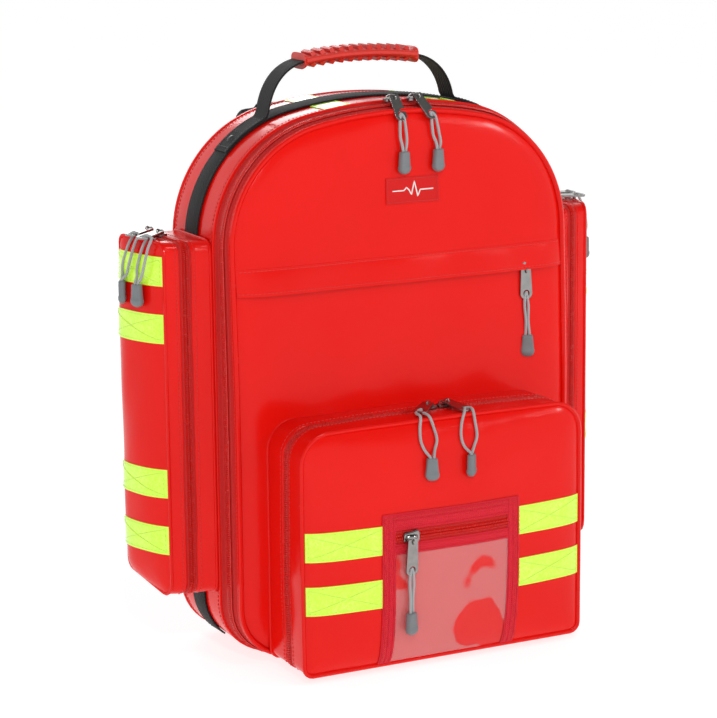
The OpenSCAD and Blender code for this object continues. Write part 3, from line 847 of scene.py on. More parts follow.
def cord_end(name, body, top, down, face):
    """The moulded end: a flat block that widens to a rounded foot with a raised lip."""
    across = np.cross(face, down)
    rings = []
    for drop, wide, thick in ((0.0, 4.1, 2.4), (0.6, 4.6, 2.9), (3, 4.8, 3.0), (8, 5.3, 3.0),
                              (12.5, 5.8, 2.9), (13.2, 6.1, 3.4), (15.5, 6.0, 3.4),
                              (17.2, 5.2, 2.9), (18.6, 3.6, 2.2), (END_LONG, 1.6, 1.2)):
        x, y = oval(16, wide, thick, 0.45, 0.45)
        rings.append(top + down * drop + np.outer(x, across) + np.outer(y, face))
    Shape().loft(rings).make(name, END_GREY, body, smooth=50)


def pull(name, top, tip, face, end_top, end_face, spread=7.0, route=()):
    """Tab, cord loop and moulded end. The loop leaves the end, passes the tab's hole and
    goes back into the end. route holds (x, y, z, half width) of the loop, from the end up."""
    shape = Shape()
    hole, across, normal = tab_shape(shape, top, tip, face)
    shape.make(name + "_tab", NICKEL, name, replaces=(name,), smooth=30, bevel=0.25)
    end_top = np.asarray(end_top, float)
    down = np.array((0, 0, -1.0))
    end_face = unit(end_face)
    side = unit(np.cross(end_face, down))
    if side.dot(across) < 0:
        side = -side
    wide = np.where(np.abs(side) == np.abs(side).max(), np.sign(side), 0.0)
    drop = hole - end_top
    if not len(route):
        route = [(*(end_top + drop * 0.35), spread * 0.62), (*(end_top + drop * 0.68), spread),
                 (*(hole + down * 2.4), spread * 0.62)]
    legs = []
    for s in (-1, 1):
        foot = end_top + side * s * 1.7
        legs.append([foot + down * 3.0, foot - down * 1.0]
                    + [np.array(stop[:3]) + wide * s * stop[3] for stop in route])
    apex = hole + unit(normal) * 0.6 + (unit(hole - legs[0][-1]) + unit(hole - legs[1][-1])) * 0.6
    path = spline(legs[0] + [apex] + legs[1][::-1], 64)
    cord = Shape().tube(path, CORD_R, 8).make(name + "_cord", CORD_GREY, name)
    cord_end(name + "_end", name, end_top, down, end_face)
    round(lengths_of(path)[-1] * MM, 4)


# ---------------------------------------------------------------- main bag

def arch_slack(seed, size=0.7):
    """Slack in the gusset: none at its seams, most in the middle."""
    def amount(uv, normal, depth):
        along = np.arctan2(uv[:, 1] - bag_mid, uv[:, 0]) * 190
        share = np.clip((depth - gusset_y) / (rear_y - gusset_y), 0, 1)
        return size * ripple(along, depth * 2.0, seed) * math.sin(math.pi * share)
    return amount


def build_main_bag():
    inner = gusset_out - 2.0
    skirt = [(gusset_y - 0.6, gusset_out - 0.9), (gusset_y + 0.4, gusset_out + 0.1),
             (gusset_y + 9, gusset_out + 0.4), (gusset_y + 24, gusset_out + 0.2),
             (band_mid, gusset_out), (rear_y - 24, gusset_out + 0.2),
             (rear_y - 8, gusset_out + 0.4), (rear_y, gusset_out - 0.2),
             (rear_y, inner), (band_mid, inner), (gusset_y - 0.6, inner)]
    slack = arch_slack(1.7)
    band(ARCH, skirt, slack).make("gusset_fabric", RED, "root", replaces=("main_gusset",))
    lining = [(gusset_y + 1, inner - 0.2), (rear_y - 3, inner - 0.2), (rear_y - 3, inner - 0.7),
              (gusset_y + 1, inner - 0.7)]
    band(ARCH, lining).make("gusset_lining", GREY_LINING, "root")
    bead("gusset_front_bead", "root", ARCH, gusset_y - 0.4, gusset_out - 0.5, 1.5)
    bead("back_piping", "root", ARCH, rear_y + 1.4, gusset_out - 1.4, 2.3)
    sew("gusset_stitches", "root", "pvc_red",
        *[ARCH.spaced(SEAM, depth, gusset_out + 0.55, slack)
          for depth in (gusset_y + 3.4, rear_y - 4.5)])
    main_zip("main_zip_rear", "root", (gusset_y, gusset_out - 1.2), 1)
    main_zip("main_zip_front", "main_lid", (panel_y + 1.6, 1.6), -1)
    webbing_round_bag()
    top_reflectors()
    base_panel()


band_mid = sum(c[1] for c in corners_of("gusset_webbing")) / 2


def webbing_round_bag():
    """The black strap round the gusset, from one side of the base to the other."""
    lift = gusset_out + 0.75
    loop = ARCH.loop(band_mid, lift + 0.8)
    start = np.argmin(np.abs(loop[:, 2] - 12) + (loop[:, 0] < 0) * 1e3)
    loop = np.roll(loop, -start, 0)
    path = np.array([p for p in loop if p[2] > 12])
    Shape().strip(path, (0, 1, 0), TAPE, WEB).make(
        "band_webbing", BLACK_WEB, "root", replaces=("gusset_webbing",))
    seam = Shape()
    outward = unit_rows(path - np.array((0, band_mid, bag_mid)))
    for offset in (-10.6, 10.6):
        at = line_points(path + (0, offset, 0) + outward * 0.85, ZIP_SEAM)
        stitches(seam, *at, unit_rows(at[0] - np.array((0, 0, bag_mid))) * (1, 0, 1))
    seam.make("band_stitches", thread("thread_black", (0.04, 0.04, 0.042)), "root", "webbing_black")


def line_points(path, pitch):
    """Evenly spaced points along a line, and the line's direction there."""
    at = np.arange(pitch / 2, lengths_of(path)[-1], pitch)
    return read_line(path, at), unit_rows(read_line(path, at + 0.5) - read_line(path, at - 0.5))


def top_reflectors():
    """Two tapes across the top, in front of and behind the webbing."""
    low, high = corners_of("top_reflectors")
    tape, seam = Shape(), Shape()
    near = TAPE / 2 + 0.5
    for x in (low[0] + TAPE / 2, high[0] - TAPE / 2):
        for y0, y1 in ((gusset_y + 1.5, band_mid - near), (band_mid + near, rear_y - 1.5)):
            xs, ys = np.meshgrid(np.linspace(x - TAPE / 2, x + TAPE / 2, 7), np.linspace(y0, y1, 7))
            top = np.stack([xs, ys, arch_top(xs, gusset_out + 0.9)], 2)
            tape.grid(np.concatenate([top, top[::-1] - (0, 0, 0.7)]), close_v=True)
            for edge in (-TAPE / 2 + 1.6, TAPE / 2 - 1.6):
                z = float(arch_top(x + edge, gusset_out + 1.1))
                stitch_path(seam, [(x + edge, y0, z), (x + edge, y1, z)], (0, 0, 1))
    tape.make("top_tapes", LIME, "root", replaces=("top_reflectors",))
    seam.make("top_tape_stitches", LIME_THREAD, "root")


def base_panel():
    """The stiffened base with its worn, softened edge."""
    low, high = corners_of("base_panel")
    corner = 12
    foot = Outline(rounded([(low[0], low[1], corner), (high[0], low[1], corner),
                            (high[0], high[1], corner), (low[0], high[1], corner)]),
                   lambda uv, d: np.stack([uv[:, 0], uv[:, 1], np.broadcast_to(d, len(uv))], 1))
    rings = [(high[2] - 0.1, -60), (high[2] - 0.1, -1), (high[2] - 0.6, 0), (0.9, 0), (0.0, -1.2),
             (0.0, -60)]
    Shape().grid([foot.loop(d, o) for d, o in rings], close_u=True, close_v=False).make(
        "base", BLACK_CLOTH, "root", replaces=("base_panel",))


# ---------------------------------------------------------------- front panel and flap

def panel_depth(x, z):
    """How far forward the front panel stands at a point."""
    x, z = np.asarray(x, float), np.asarray(z, float)
    u = np.clip(np.abs(x) / half_w, 0, 1)
    w = np.clip(np.abs(z - (panel_low + panel_top) / 2) / ((panel_top - panel_low) / 2), 0, 1)
    crown = (1 - u ** 4) * (1 - w ** 6)
    edge = panel_y + 1.8 - rolled(ARCH.inside(x, z), 5.6, 10.0)
    return edge - crown * (1.4 + 1.3 * ripple(x, z, 0.6)) + lean(z, panel_y)


def fill(outline, inset, depth_at, thick, rows=56, cols=44, place=None):
    """A face that fills an outline, its points in rows from side to side. Where thick is not
    zero a second face lies that far behind the first."""
    v_low, v_high = outline.uv[:, 1].min() + inset, outline.uv[:, 1].max() - inset
    shares = (1 - np.cos(np.linspace(0, math.pi, rows))) / 2
    shares = 0.5 * shares + 0.5 * np.linspace(0, 1, rows)
    front = []
    for v in v_low + (v_high - v_low) * shares:
        a, b = outline.span(v)
        front.append(np.stack([np.linspace(a + inset, b - inset, cols), np.full(cols, v)], 1))
    uv = np.concatenate(front)
    depth = np.broadcast_to(depth_at(uv[:, 0], uv[:, 1]), len(uv))
    shape = Shape()
    for behind in (0.0, thick) if thick else (0.0,):
        shape.grid((place or outline.place)(uv, depth + behind).reshape(rows, cols, 3))
    return shape


def patch(shape, place, depth_at, u0, u1, v0, v1, lift, thick):
    """A layer that lies on a face, between u0..u1 and v0..v1, lifted off it."""
    step = 5.0
    us = np.linspace(u0, u1, max(3, int(abs(u1 - u0) / step) + 1))
    vs = np.linspace(v0, v1, max(3, int(abs(v1 - v0) / step) + 1))
    uu, vv = np.meshgrid(us, vs)
    uv = np.stack([uu.ravel(), vv.ravel()], 1)
    d = depth_at(uu, vv).ravel()
    out, inn = (place(uv, d + h).reshape(len(vs), len(us), 3) for h in (lift, lift - thick))
    shape.grid([inn[0], *out, inn[-1]])
    for side in (0, -1):
        shape.grid([out[:, side], inn[:, side]])


def on_front(depth_at, lift):
    """Turns (x, z) points into points just in front of a face."""
    def place(points):
        p = np.asarray(points, float)
        return np.stack([p[:, 0], depth_at(p[:, 0], p[:, 1]) - lift, p[:, 1]], 1)
    return place


def line(a, b, count=12):
    return np.linspace(a, b, count)


def build_panel():
    fill(ARCH, 0.4, panel_depth, 1.6, 110, 72, flat_face).make(
        "panel_fabric", RED, "main_lid", replaces=("front_panel",))
    fill(ARCH, 1.0, lambda x, z: panel_y + 2.4, 0.6, 24, 20).make(
        "panel_lining", GREY_LINING, "main_lid")
    bead("panel_piping", "main_lid", ARCH, panel_y + 0.6, 0.9, 2.3)
    bead("panel_seam", "main_lid", ARCH, panel_y + 3.6, 1.9, 1.2)
    sew("panel_stitches", "main_lid", "pvc_red", ARCH.spaced(SEAM, panel_y + 1.9, 3.0))
    build_flap()
    build_label()


def build_flap():
    """The flap over the slit zip: a strip that is sewn along its top and free below."""
    low, high = FLAP[0][2], FLAP[1][2]
    zs = np.concatenate([np.linspace(high + 1.5, high - 2.0, 3), np.linspace(high - 5, low, 8)])
    xs = np.linspace(1.5 - half_w, half_w - 1.5, 70)
    ends = 0.25 + 0.75 * np.clip((half_w - np.abs(xs)) / 22.0, 0, 1)
    rows = []
    for z in zs:
        share = np.clip((high - z) / (high - low), 0, 1)
        wave = 0.35 * ripple(xs * 1.4, 3.0, 2.2) * share
        off = 0.5 + (4.2 * share ** 0.8 + wave) * ends
        row_z = np.full_like(xs, z)
        rows.append(np.stack([xs, panel_depth(xs, row_z) - off, row_z], 1))
    front = np.array(rows)
    flap = Shape().grid(np.concatenate([front, front[::-1] + (0, 0.9, 0)]), close_v=True, caps=True)
    piece = flap.make("flap_fabric", RED, None, replaces=("weather_flap",))
    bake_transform(piece)
    top, hem = Shape(), Shape()
    row = line((-half_w + 4, high - 0.4), (half_w - 4, high - 0.4), 40)
    stitch_path(top, on_front(panel_depth, 0.85)(row), FRONT)
    top.make("flap_top_stitches", RED_THREAD, "main_lid")
    stitch_path(hem, front[-2] + (0, -0.15, 0), FRONT)
    hem.make("flap_hem_stitches", RED_THREAD, "flap")
    low, high = corners_of("upper_zip")
    straight_zip("upper_zip", "main_lid", on_front(panel_depth, 0.3), low[0] + 6, high[0] - 6,
                 (low[2] + high[2]) / 2, 5.5)


def straight_zip(node, body, place, x0, x1, z, tape_half):
    """A short closed zip along X: tape, both coils and two seams."""
    def row(dz, forward=0.0):
        return place(np.stack([xs, np.full_like(xs, z + dz)], 1)) + np.array(FRONT) * forward

    xs = np.linspace(x0, x1, 40)
    across = np.linspace(-tape_half, tape_half, 9)
    tape = Shape().grid([row(dz) for dz in across] + [row(dz, -0.8) for dz in across[::-1]],
                        close_v=True)
    tape.make(node + "_tape", ZIP_TAPE, body, replaces=(node,))
    seam, coil = Shape(), Shape()
    for dz in (-tape_half + 2, tape_half - 2):
        stitch_path(seam, row(dz, 0.25), FRONT)
    for way, phase in ((1, 0.0), (-1, 0.5)):
        xs = np.arange(x0 + 1, x1 - 1, TOOTH) + phase * TOOTH
        axes = np.broadcast_to(np.array([(1, 0, 0), (0, 0, 1), FRONT], float), (len(xs), 3, 3))
        coil.boxes(row(way * 1.35, 0.8), axes, (TOOTH * 0.72, 2.7, 1.7), 0.55)
    coil.make(node + "_coil", ZIP_COIL, body, smooth=60)
    seam.make(node + "_stitches", RED_THREAD, body, "zip_red")


def build_label():
    """A plain red label with a white pulse line."""
    x0, x1, z0, z1 = -17.0, 34.0, 389.5, 412.0
    label, border, pulse = Shape(), Shape(), Shape()
    patch(label, flat_face, lambda x, z: panel_depth(x, z) - 0.5, x0, x1, z0, z1, -0.5, -0.9)
    label.make("label", cloth("label_red", (0.70, 0.006, 0.005), (0.78, 0.012, 0.01), 0.5),
               "main_lid", "pvc_red")
    place = on_front(panel_depth, 1.15)
    for a, b in sides_of(x0 + 1.3, x1 - 1.3, z0 + 1.3, z1 - 1.3):
        stitch_path(border, place(line(a, b)), FRONT, 2.0, 1.5)
    border.make("label_stitches", RED_THREAD, "main_lid")
    beat = [(x0 + x, (z0 + z1) / 2 + rise) for x, rise in
            ((6, 0), (17, 0), (19.5, 2.5), (22, 0), (24, -4), (27, 7.5), (30, -5.5), (32.5, 0),
             (45, 0))]
    points = np.vstack([line(a, b, 6)[min(k, 1):] for k, (a, b) in enumerate(zip(beat, beat[1:]))])
    pulse.tube(place(points), 0.55, 6)
    pulse.make("label_pulse", WHITE_THREAD, "main_lid")


def sides_of(x0, x1, z0, z1):
    """The four sides of a rectangle, each as its two ends."""
    ring = [(x0, z0), (x1, z0), (x1, z1), (x0, z1), (x0, z0)]
    return zip(ring, ring[1:])


# ---------------------------------------------------------------- front pocket

def pocket_crown(uv, normal, depth):
    """The pocket's top sags upward a little between its ends, and its sides swell."""
    share = np.clip((depth - pocket_edge) / (panel_y - pocket_edge), 0, 1)
    hump = math.sin(math.pi * (0.12 + 0.76 * share))
    top = np.clip(normal[:, 1], 0, 1) * 3.2 * (1 - (uv[:, 0] / pocket_w) ** 2)
    sides = np.abs(normal[:, 0]) * 1.3 * (1 - np.clip(np.abs(uv[:, 1] - pocket_mid)
                                                      / pocket_half, 0, 1) ** 2)
    slack = 0.45 * ripple(uv[:, 0] + uv[:, 1], np.full(len(uv), depth * 2.0), 3.1)
    return (top + sides + slack * (normal[:, 1] > -0.5)) * hump


def pocket_depth(x, z):
    """The bulged face of the front pocket."""
    x, z = np.asarray(x, float), np.asarray(z, float)
    u = np.clip(np.abs(x) / pocket_w, 0, 1)
    w = np.clip(np.abs(z - pocket_mid) / pocket_half, 0, 1)
    crown = (1 - u ** 2.4) * (1 - w ** 2.4)
    edge = pocket_edge + 0.8 - rolled(POCKET.inside(x, z), 4.8, 8.0)
    return edge - 10.2 * crown ** 0.9 - 0.8 * np.sqrt(crown) * ripple(x, z, 4.0)


def build_front_pocket():
    body_front, lid_back = POCKET_BACK[0][1], corners_of("front_zip_front")[0][1]
    shell = [(panel_y + 1, 0.6), (panel_y - 6, 0.1), (panel_y - 16, 0.1), (body_front + 6, 0.2),
             (body_front, 0.0), (body_front - 0.8, -0.8), (body_front, -1.8),
             (panel_y - 16, -1.8), (panel_y + 1, -1.6)]
    band(POCKET, shell, pocket_crown).make("pocket_fabric", RED, "main_lid",
                                           replaces=("front_pocket_body",))
    for name, body, edge, way in (("front_zip_rear", "main_lid", body_front, 1),
                                  ("front_zip_front", "front_lid", lid_back, -1)):
        pocket_zip(name, body, POCKET, edge, pocket_split, way, -0.9, 0.0, 1.7, pocket_crown)
    lid = [(lid_back + 0.8, -0.8), (lid_back, 0.0), (lid_back - 8, 0.25), (pocket_edge + 8, 0.2),
           (pocket_edge + 0.8, 0.0), (pocket_edge + 0.4, -1.6), (pocket_edge + 8, -1.7),
           (lid_back, -1.8)]
    band(POCKET, lid, pocket_crown).make("pocket_lid_band", RED, "front_lid",
                                         replaces=("front_pocket_lid",))
    fill(POCKET, 0.3, pocket_depth, 1.5, 72, 84).make("pocket_face", RED, "front_lid")
    bead("pocket_piping", "front_lid", POCKET, pocket_edge + 0.2, 0.1, 2.0,
         lambda uv, normal, depth: pocket_crown(uv, normal, pocket_edge))
    sew("pocket_lid_stitches", "front_lid", "pvc_red",
        POCKET.spaced(SEAM, lid_back - 2.6, 0.55, pocket_crown))
    sew("pocket_body_stitches", "main_lid", "pvc_red",
        POCKET.spaced(SEAM, body_front + 2.6, 0.4, pocket_crown))
    bead("pocket_root_seam", "main_lid", POCKET, panel_y - 3.4, 0.6, 1.5)
    front_strips()
    window()


def tape_strip(tape, seam, place, depth_at, u0, u1, mid, sign):
    """One reflective strip with sewn borders and zig-zag ridges, lifted to the sign's side."""
    low, high = mid - TAPE / 2, mid + TAPE / 2
    patch(tape, place, depth_at, u0, u1, low, high, 0.75 * sign, 0.9 * sign)

    def at(points, lift=0.95):
        p = np.asarray(points, float)
        return place(p, depth_at(p[:, 0], p[:, 1]) + lift * sign)

    middle = np.array([((u0 + u1) / 2, mid)])
    up = unit(at(middle, 1.0)[0] - at(middle, 0.0)[0])
    for v in (low + 1.8, high - 1.8):
        stitch_path(seam, at(line((u0 + 1, v), (u1 - 1, v), 16)), up)
    for u in (u0 + 2.2, u1 - 2.2):
        stitch_path(seam, at(line((u, low + 2), (u, high - 2), 8)), up)
    turns = max(1, round(abs(u1 - u0) / (2.1 * TAPE)))
    step, clear, ridge = (u1 - u0) / turns, 3, 0.4
    for k in range(turns):
        a, b = u0 + k * step + clear, u0 + (k + 1) * step - clear
        for v, w in ((low + clear, high - clear), (high - clear, low + clear)):
            seam.tube(at(line((a, v), (b, w), 14), 0.8), ridge, 5)


def front_strips():
    tape, seam = Shape(), Shape()
    low, high = corners_of("front_reflectors")
    frame_low, frame_high = corners_of("window_frame")
    for mid in (low[2] + TAPE / 2, high[2] - TAPE / 2):
        for u0, u1 in ((low[0] + 0.5, frame_low[0] + 1), (frame_high[0] - 1, high[0] - 0.5)):
            tape_strip(tape, seam, flat_face, pocket_depth, u0, u1, mid, -1.0)
    tape.make("front_strips", LIME, "front_lid", replaces=("front_reflectors",))
    seam.make("front_strip_stitches", LIME_THREAD, "front_lid")


def window():
    """The clear window: ribbed binding round it, the film and the short zip above it."""
    low, high = corners_of("window_frame")
    x0, x1, z1 = low[0], high[0], high[2]
    z0 = pocket_low + 1.0
    zip_low, zip_high = (c[2] for c in corners_of("window_zip"))
    wide = 12.0
    in0, in1 = x0 + wide, x1 - wide
    binding, ribs, seam, film = Shape(), Shape(), Shape(), Shape()
    for a, b, c, d in ((x0, in0, z0, z1), (in1, x1, z0, z1), (in0, in1, zip_high, z1),
                       (in0, in1, zip_low - 9, zip_low)):
        patch(binding, flat_face, pocket_depth, a, b, c, d, -1.5, -1.3)
    binding.make("window_binding", RED_BINDING, "front_lid", replaces=("window_frame",))
    place = on_front(pocket_depth, 1.5)
    for x in (x0 + 1.6, x0 + 6, in0 - 1.6, in1 + 1.6, x1 - 6, x1 - 1.6):
        ribs.tube(place(line((x, z0 + 1), (x, z1 - 1), 30)), 0.5, 6)
    for z in (z1 - 1.8, z1 - 6, zip_high + 1.8, zip_low - 1.8, zip_low - 7.4):
        ribs.tube(place(line((in0, z), (in1, z), 24)), 0.5, 6)
    ribs.make("window_ribs", RED_BINDING, "front_lid")
    place = on_front(pocket_depth, 1.75)
    for a, b in (((x0 + 3.6, z0 + 2), (x0 + 3.6, z1 - 2)), ((x1 - 3.6, z0 + 2), (x1 - 3.6, z1 - 2)),
                 ((x0 + 4, z1 - 3.8), (x1 - 4, z1 - 3.8))):
        stitch_path(seam, place(line(a, b, 30)), FRONT)
    seam.make("window_stitches", RED_THREAD, "front_lid", "webbing_red")
    patch(film, flat_face, lambda x, z: pocket_depth(x, z) - 0.5
          - 1.1 * (1 + ripple(x * 1.3, z * 1.3, 5.0)) / 2, in0 - 2, in1 + 2, z0 + 1, zip_low - 7,
          0.0, -0.4)
    film.make("window_film", FILM, "front_lid", replaces=("window_sheet",))
    straight_zip("window_zip", "front_lid", on_front(pocket_depth, 0.7), in0 - 1, in1 + 1,
                 (zip_low + zip_high) / 2, 6.0)


# ---------------------------------------------------------------- side pockets

def side_depth(y, z):
    """How far the bulged outer face of a side pocket stands from the middle of the bag."""
    y, z = np.asarray(y, float), np.asarray(z, float)
    u = np.clip(np.abs(y - side_mid_y) / ((side_back - side_front) / 2), 0, 1)
    w = np.clip(np.abs(z - side_mid_z) / ((side_top - side_low) / 2), 0, 1)
    crown = (1 - u ** 2.2) * (1 - w ** 3.0)
    edge = side_edge - 0.5 + rolled(SIDE.inside(y, z), 4.0, 7.0)
    return edge + 8.0 * crown ** 0.85 + 0.9 * np.sqrt(crown) * ripple(y * 1.5, z, 6.0)


SIDE = side_outline(1)


def side_crown(uv, normal, depth):
    share = np.clip((abs(depth) - side_in) / (side_edge - side_in), 0, 1)
    slack = ripple(uv[:, 0] * 1.5 + uv[:, 1], np.full(len(uv), abs(depth) * 2.5), 7.0)
    return 0.8 * slack * math.sin(math.pi * share)


def build_side_pocket(side, sign):
    outline = side_outline(sign)
    body, lid = "root", side + "_lid"
    zip_in, zip_out = SIDE_BODY[1][0], SIDE_LID[0][0]
    fixed = [(side_in - 1.2, 0.5), (side_in + 6, 0.3), (zip_in - 6, 0.3), (zip_in, 0.0),
             (zip_in + 0.8, -0.7), (zip_in, -1.8), (side_in + 2, -1.8), (side_in - 1.2, -1.4)]
    band(outline, fixed, side_crown).make(side + "_pocket_fabric", RED, body,
                                          replaces=(side + "_pocket_body",))
    fill(outline, 2.0, lambda y, z: side_in + 0.6, 0, 60, 22).make(
        side + "_pocket_lining", GREY_LINING, body)
    for name, edge, way, rides in ((side + "_zip_rear", zip_in, -1, body),
                                   (side + "_zip_front", zip_out, 1, lid)):
        pocket_zip(name, rides, outline, edge, side_split, way, -0.3, 0.5, 1.8)
        sew(name + "_stitches", rides, "zip_red",
            outline.spaced(ZIP_SEAM, side_split + way * 3.6, -0.05),
            outline.spaced(SEAM, edge + way * 2.6, 0.55, side_crown))
    tray = [(zip_out - 0.8, -0.7), (zip_out, 0.0), (zip_out + 5, 0.3), (side_edge - 4, 0.2),
            (side_edge - 0.4, 0.0), (side_edge - 0.2, -1.6), (side_edge - 4, -1.7),
            (zip_out, -1.8)]
    band(outline, tray, side_crown).make(side + "_lid_band", RED, lid,
                                         replaces=(side + "_pocket_lid",))
    fill(outline, 0.3, side_depth, -1.5, 60, 22).make(side + "_lid_face", RED, lid)
    bead(side + "_lid_seam", lid, outline, side_edge - 0.2, 0.0, 1.5)
    bead(side + "_root_seam", body, outline, side_in + 0.8, 0.4, 1.4)
    tape, seam = Shape(), Shape()
    low, high = (c[2] for c in corners_of(side + "_reflectors"))
    low, high = low + TAPE / 2, high - TAPE / 2
    for mid in (low, low + 50, high - 49, high):
        tape_strip(tape, seam, side_face(sign), side_depth, side_front + 0.8, side_back - 0.8,
                   mid, 1.0)
    tape.make(side + "_strips", LIME, lid, replaces=(side + "_reflectors",))
    seam.make(side + "_strip_stitches", LIME_THREAD, lid)


# ---------------------------------------------------------------- sliders and pulls

def slider(name, rides, along, up, spot):
    slider_shape(spot, along, up).make(name + "_metal", NICKEL, rides, replaces=(name,), smooth=30)


def end_height(node):
    """Height at which a pull's moulded end begins."""
    return corners_of(node)[0][2] + END_LONG


def build_pulls():
    main_pulls()
    upper_pull()
    front_pulls()
    window_pull()
    for side, sign in (("left", -1), ("right", 1)):
        side_pulls(side, sign)


def main_pulls():
    top_z = panel_top + gusset_out
    zip_y = split_y + float(lean(top_z, split_y))
    for side, aside in (("left", 2.0), ("right", 13.0)):
        name, pull_name = "main_slider_" + side, "main_pull_" + side
        x, z = mid_of(name, 0), end_height(pull_name)
        slider(name, name, RIGHT, UP, (x, zip_y, float(arch_top(x, gusset_out)) + 0.4))
        edge = float(panel_depth(x, panel_top - 12.0))
        end = (x + aside, float(panel_depth(x + aside, z - 8)) - 3.3, z)
        tip = np.array((x + aside * 0.75, edge - 3.6, panel_top - 6.0))
        pull(pull_name, (x, zip_y - 3.5, top_z + 5.8), tip, (0.1, -0.62, 0.78), end,
             (0.35, -0.94, 0), route=[(*end[:2], z + 6, 2.2), (*((tip + end) / 2), 3.0),
                                      (*(tip + (0, 0.6, 1.0)), 2.0)])


def upper_pull():
    x, low = mid_of("upper_slider", 0), FLAP[0][2]
    face = float(panel_depth(x, 320.0))
    slider("upper_slider", "upper_slider", RIGHT, FRONT, (x, face + 2.6, low + 5.3))
    pull("upper_pull", (x + 2, face - 2.0, low + 1.5), (x + 2.5, face - 2.4, low - 26), FRONT,
         (x + 3.5, face - 3.4, end_height("upper_pull")), (-0.5, -0.86, 0), spread=1.9)


def front_pulls():
    crown = pocket_top + 3.0
    for side, end_x, tip, turn in (("left", -19.0, (-18.5, -21.0, 3.2), -0.25),
                                   ("right", 19.0, (25.5, -28.0, 1.5), 0.75)):
        name, pull_name = "front_slider_" + side, "front_pull_" + side
        x, top = mid_of(name, 0), end_height(pull_name)
        slider(name, name, RIGHT, UP, (x, pocket_split, crown))
        tip = np.array(tip) + (0, pocket_split, crown)
        route = []
        for share, z, half in ((0.0, top + 6, 4.6), (0.1, top + 14, 7.6),
                               (0.35, pocket_top - 5, 6.6)):
            at = end_x + (tip[0] - end_x) * share
            route.append((at, float(pocket_depth(at, z)) - CORD_R - 0.5, z, half))
        route.append((end_x + (tip[0] - end_x) * 0.75, pocket_edge - 0.5, pocket_top + 4.6, 4.0))
        route.append((tip[0], max(tip[1], pocket_edge + 4) + 1.0, crown + 2.6, 2.6))
        end_y = float(pocket_depth(end_x, top - 8)) - 3.2
        pull(pull_name, (x, pocket_split - 1.5, crown + 5.2), tip, (0, -0.1, 1),
             (end_x, end_y, top), (turn, -0.8, 0), route=route)


def window_pull():
    x, z = mid_of("window_slider", 0), mid_of("window_slider", 2)
    face = float(pocket_depth(x, z))
    slider("window_slider", "window_slider", RIGHT, FRONT, (x, face - 2.0, z))
    pull("window_pull", (x - 0.5, face - 7.4, z - 1.0), (x, face - 4.2, z - 33), (0.1, -1, 0.1),
         (x, face - 3.8, end_height("window_pull")), (0.4, -0.9, 0), spread=1.9)


def side_pulls(side, sign):
    slant, reach, ends = math.radians(35), 33.0, (3.0, 25.0)
    if side == "right":         # these two hang further back, behind the pocket's outline
        slant, reach, ends = math.radians(12), 29.0, (15.0, 33.0)
    for place, end_y, turn in zip(("front", "rear"), ends, (-0.35, 0.5)):
        name, pull_name = side + "_slider_" + place, side + "_pull_" + place
        y, top = mid_of(name, 1), end_height(pull_name)
        warped, x = side_warp(y, side_split)
        slider(name, name if place == "front" else side + "_lid", (0, 1, 0), UP,
               (sign * x, warped, side_top + 0.4))
        tip_x, tip_y = x + reach * math.cos(slant), y - reach * math.sin(slant)
        route = []
        for share, z, half in ((0.0, top + 6, 4.4), (0.15, top + 14, 6.4),
                               (0.5, side_top - 5, 5.6)):
            at = end_y + (tip_y - end_y) * share
            face = side_warp(at, float(side_depth(at, z)))[1]
            route.append((sign * (face + CORD_R + 0.5), at, z, half))
        edge = side_warp(tip_y, side_edge)[1]
        route.append((sign * (edge + 1.0), end_y + (tip_y - end_y) * 0.8, side_top + 4.4, 3.6))
        end_x = side_warp(end_y, float(side_depth(end_y, top - 8)))[1] + 3.2
        pull(pull_name, (sign * (x + 1.5), warped - 1.0, side_top + 4.4),
             (sign * tip_x, tip_y, side_top + 3.8), UP, (sign * end_x, end_y, top),
             (sign, turn, 0), route=route)


# ---------------------------------------------------------------- carrying handle

GRIP = corners_of("handle_grip")
grip_mid, grip_reach = (GRIP[0][0] + GRIP[1][0]) / 2, (GRIP[1][0] - GRIP[0][0]) / 2
grip_z = corners_of("handle_webbing")[1][2] - 0.5
grip_sag = 4.0              # how much lower the grip is at its ends


def grip_height(x):
    """The strap's height inside the grip."""
    return grip_z - grip_sag * ((np.asarray(x, float) - grip_mid) / grip_reach) ** 2


def handle_path():
    """The strap from one foot to the other, through the grip."""
    low, high = corners_of("handle_webbing")
    half = (high[0] - low[0]) / 2 - 1
    join = grip_reach - 3
    slope = 2 * grip_sag * join / grip_reach ** 2
    end_z = float(grip_height(grip_mid + join))
    legs = []
    for s in (-1, 1):
        x = grip_mid + s * half
        stops = [(x, float(arch_top(x, gusset_out + 2.6))), (x - s * 4, 496),
                 (grip_mid + s * (join + 16), end_z - slope * 16), (grip_mid + s * join, end_z)]
        legs.append(curve(stops, np.linspace(0, 1, 24)))
    xs = np.linspace(grip_mid - join, grip_mid + join, 14)[1:-1]
    run = np.vstack([legs[0], np.stack([xs, grip_height(xs)], 1), legs[1][::-1]])
    return np.insert(run, 1, band_mid, axis=1), half


def arch_up(points):
    """Outward directions of the arch below points on it."""
    p = np.asarray(points, float)
    on_crown = np.abs(p[:, 0]) < crown_r * math.cos(shoulder_turn)
    x = np.where(on_crown, p[:, 0], p[:, 0] - np.sign(p[:, 0]) * shoulder_x)
    z = np.where(on_crown, p[:, 2] - crown_z, p[:, 2] - shoulder_z)
    return unit_rows(np.stack([x, 0 * x, z], 1))


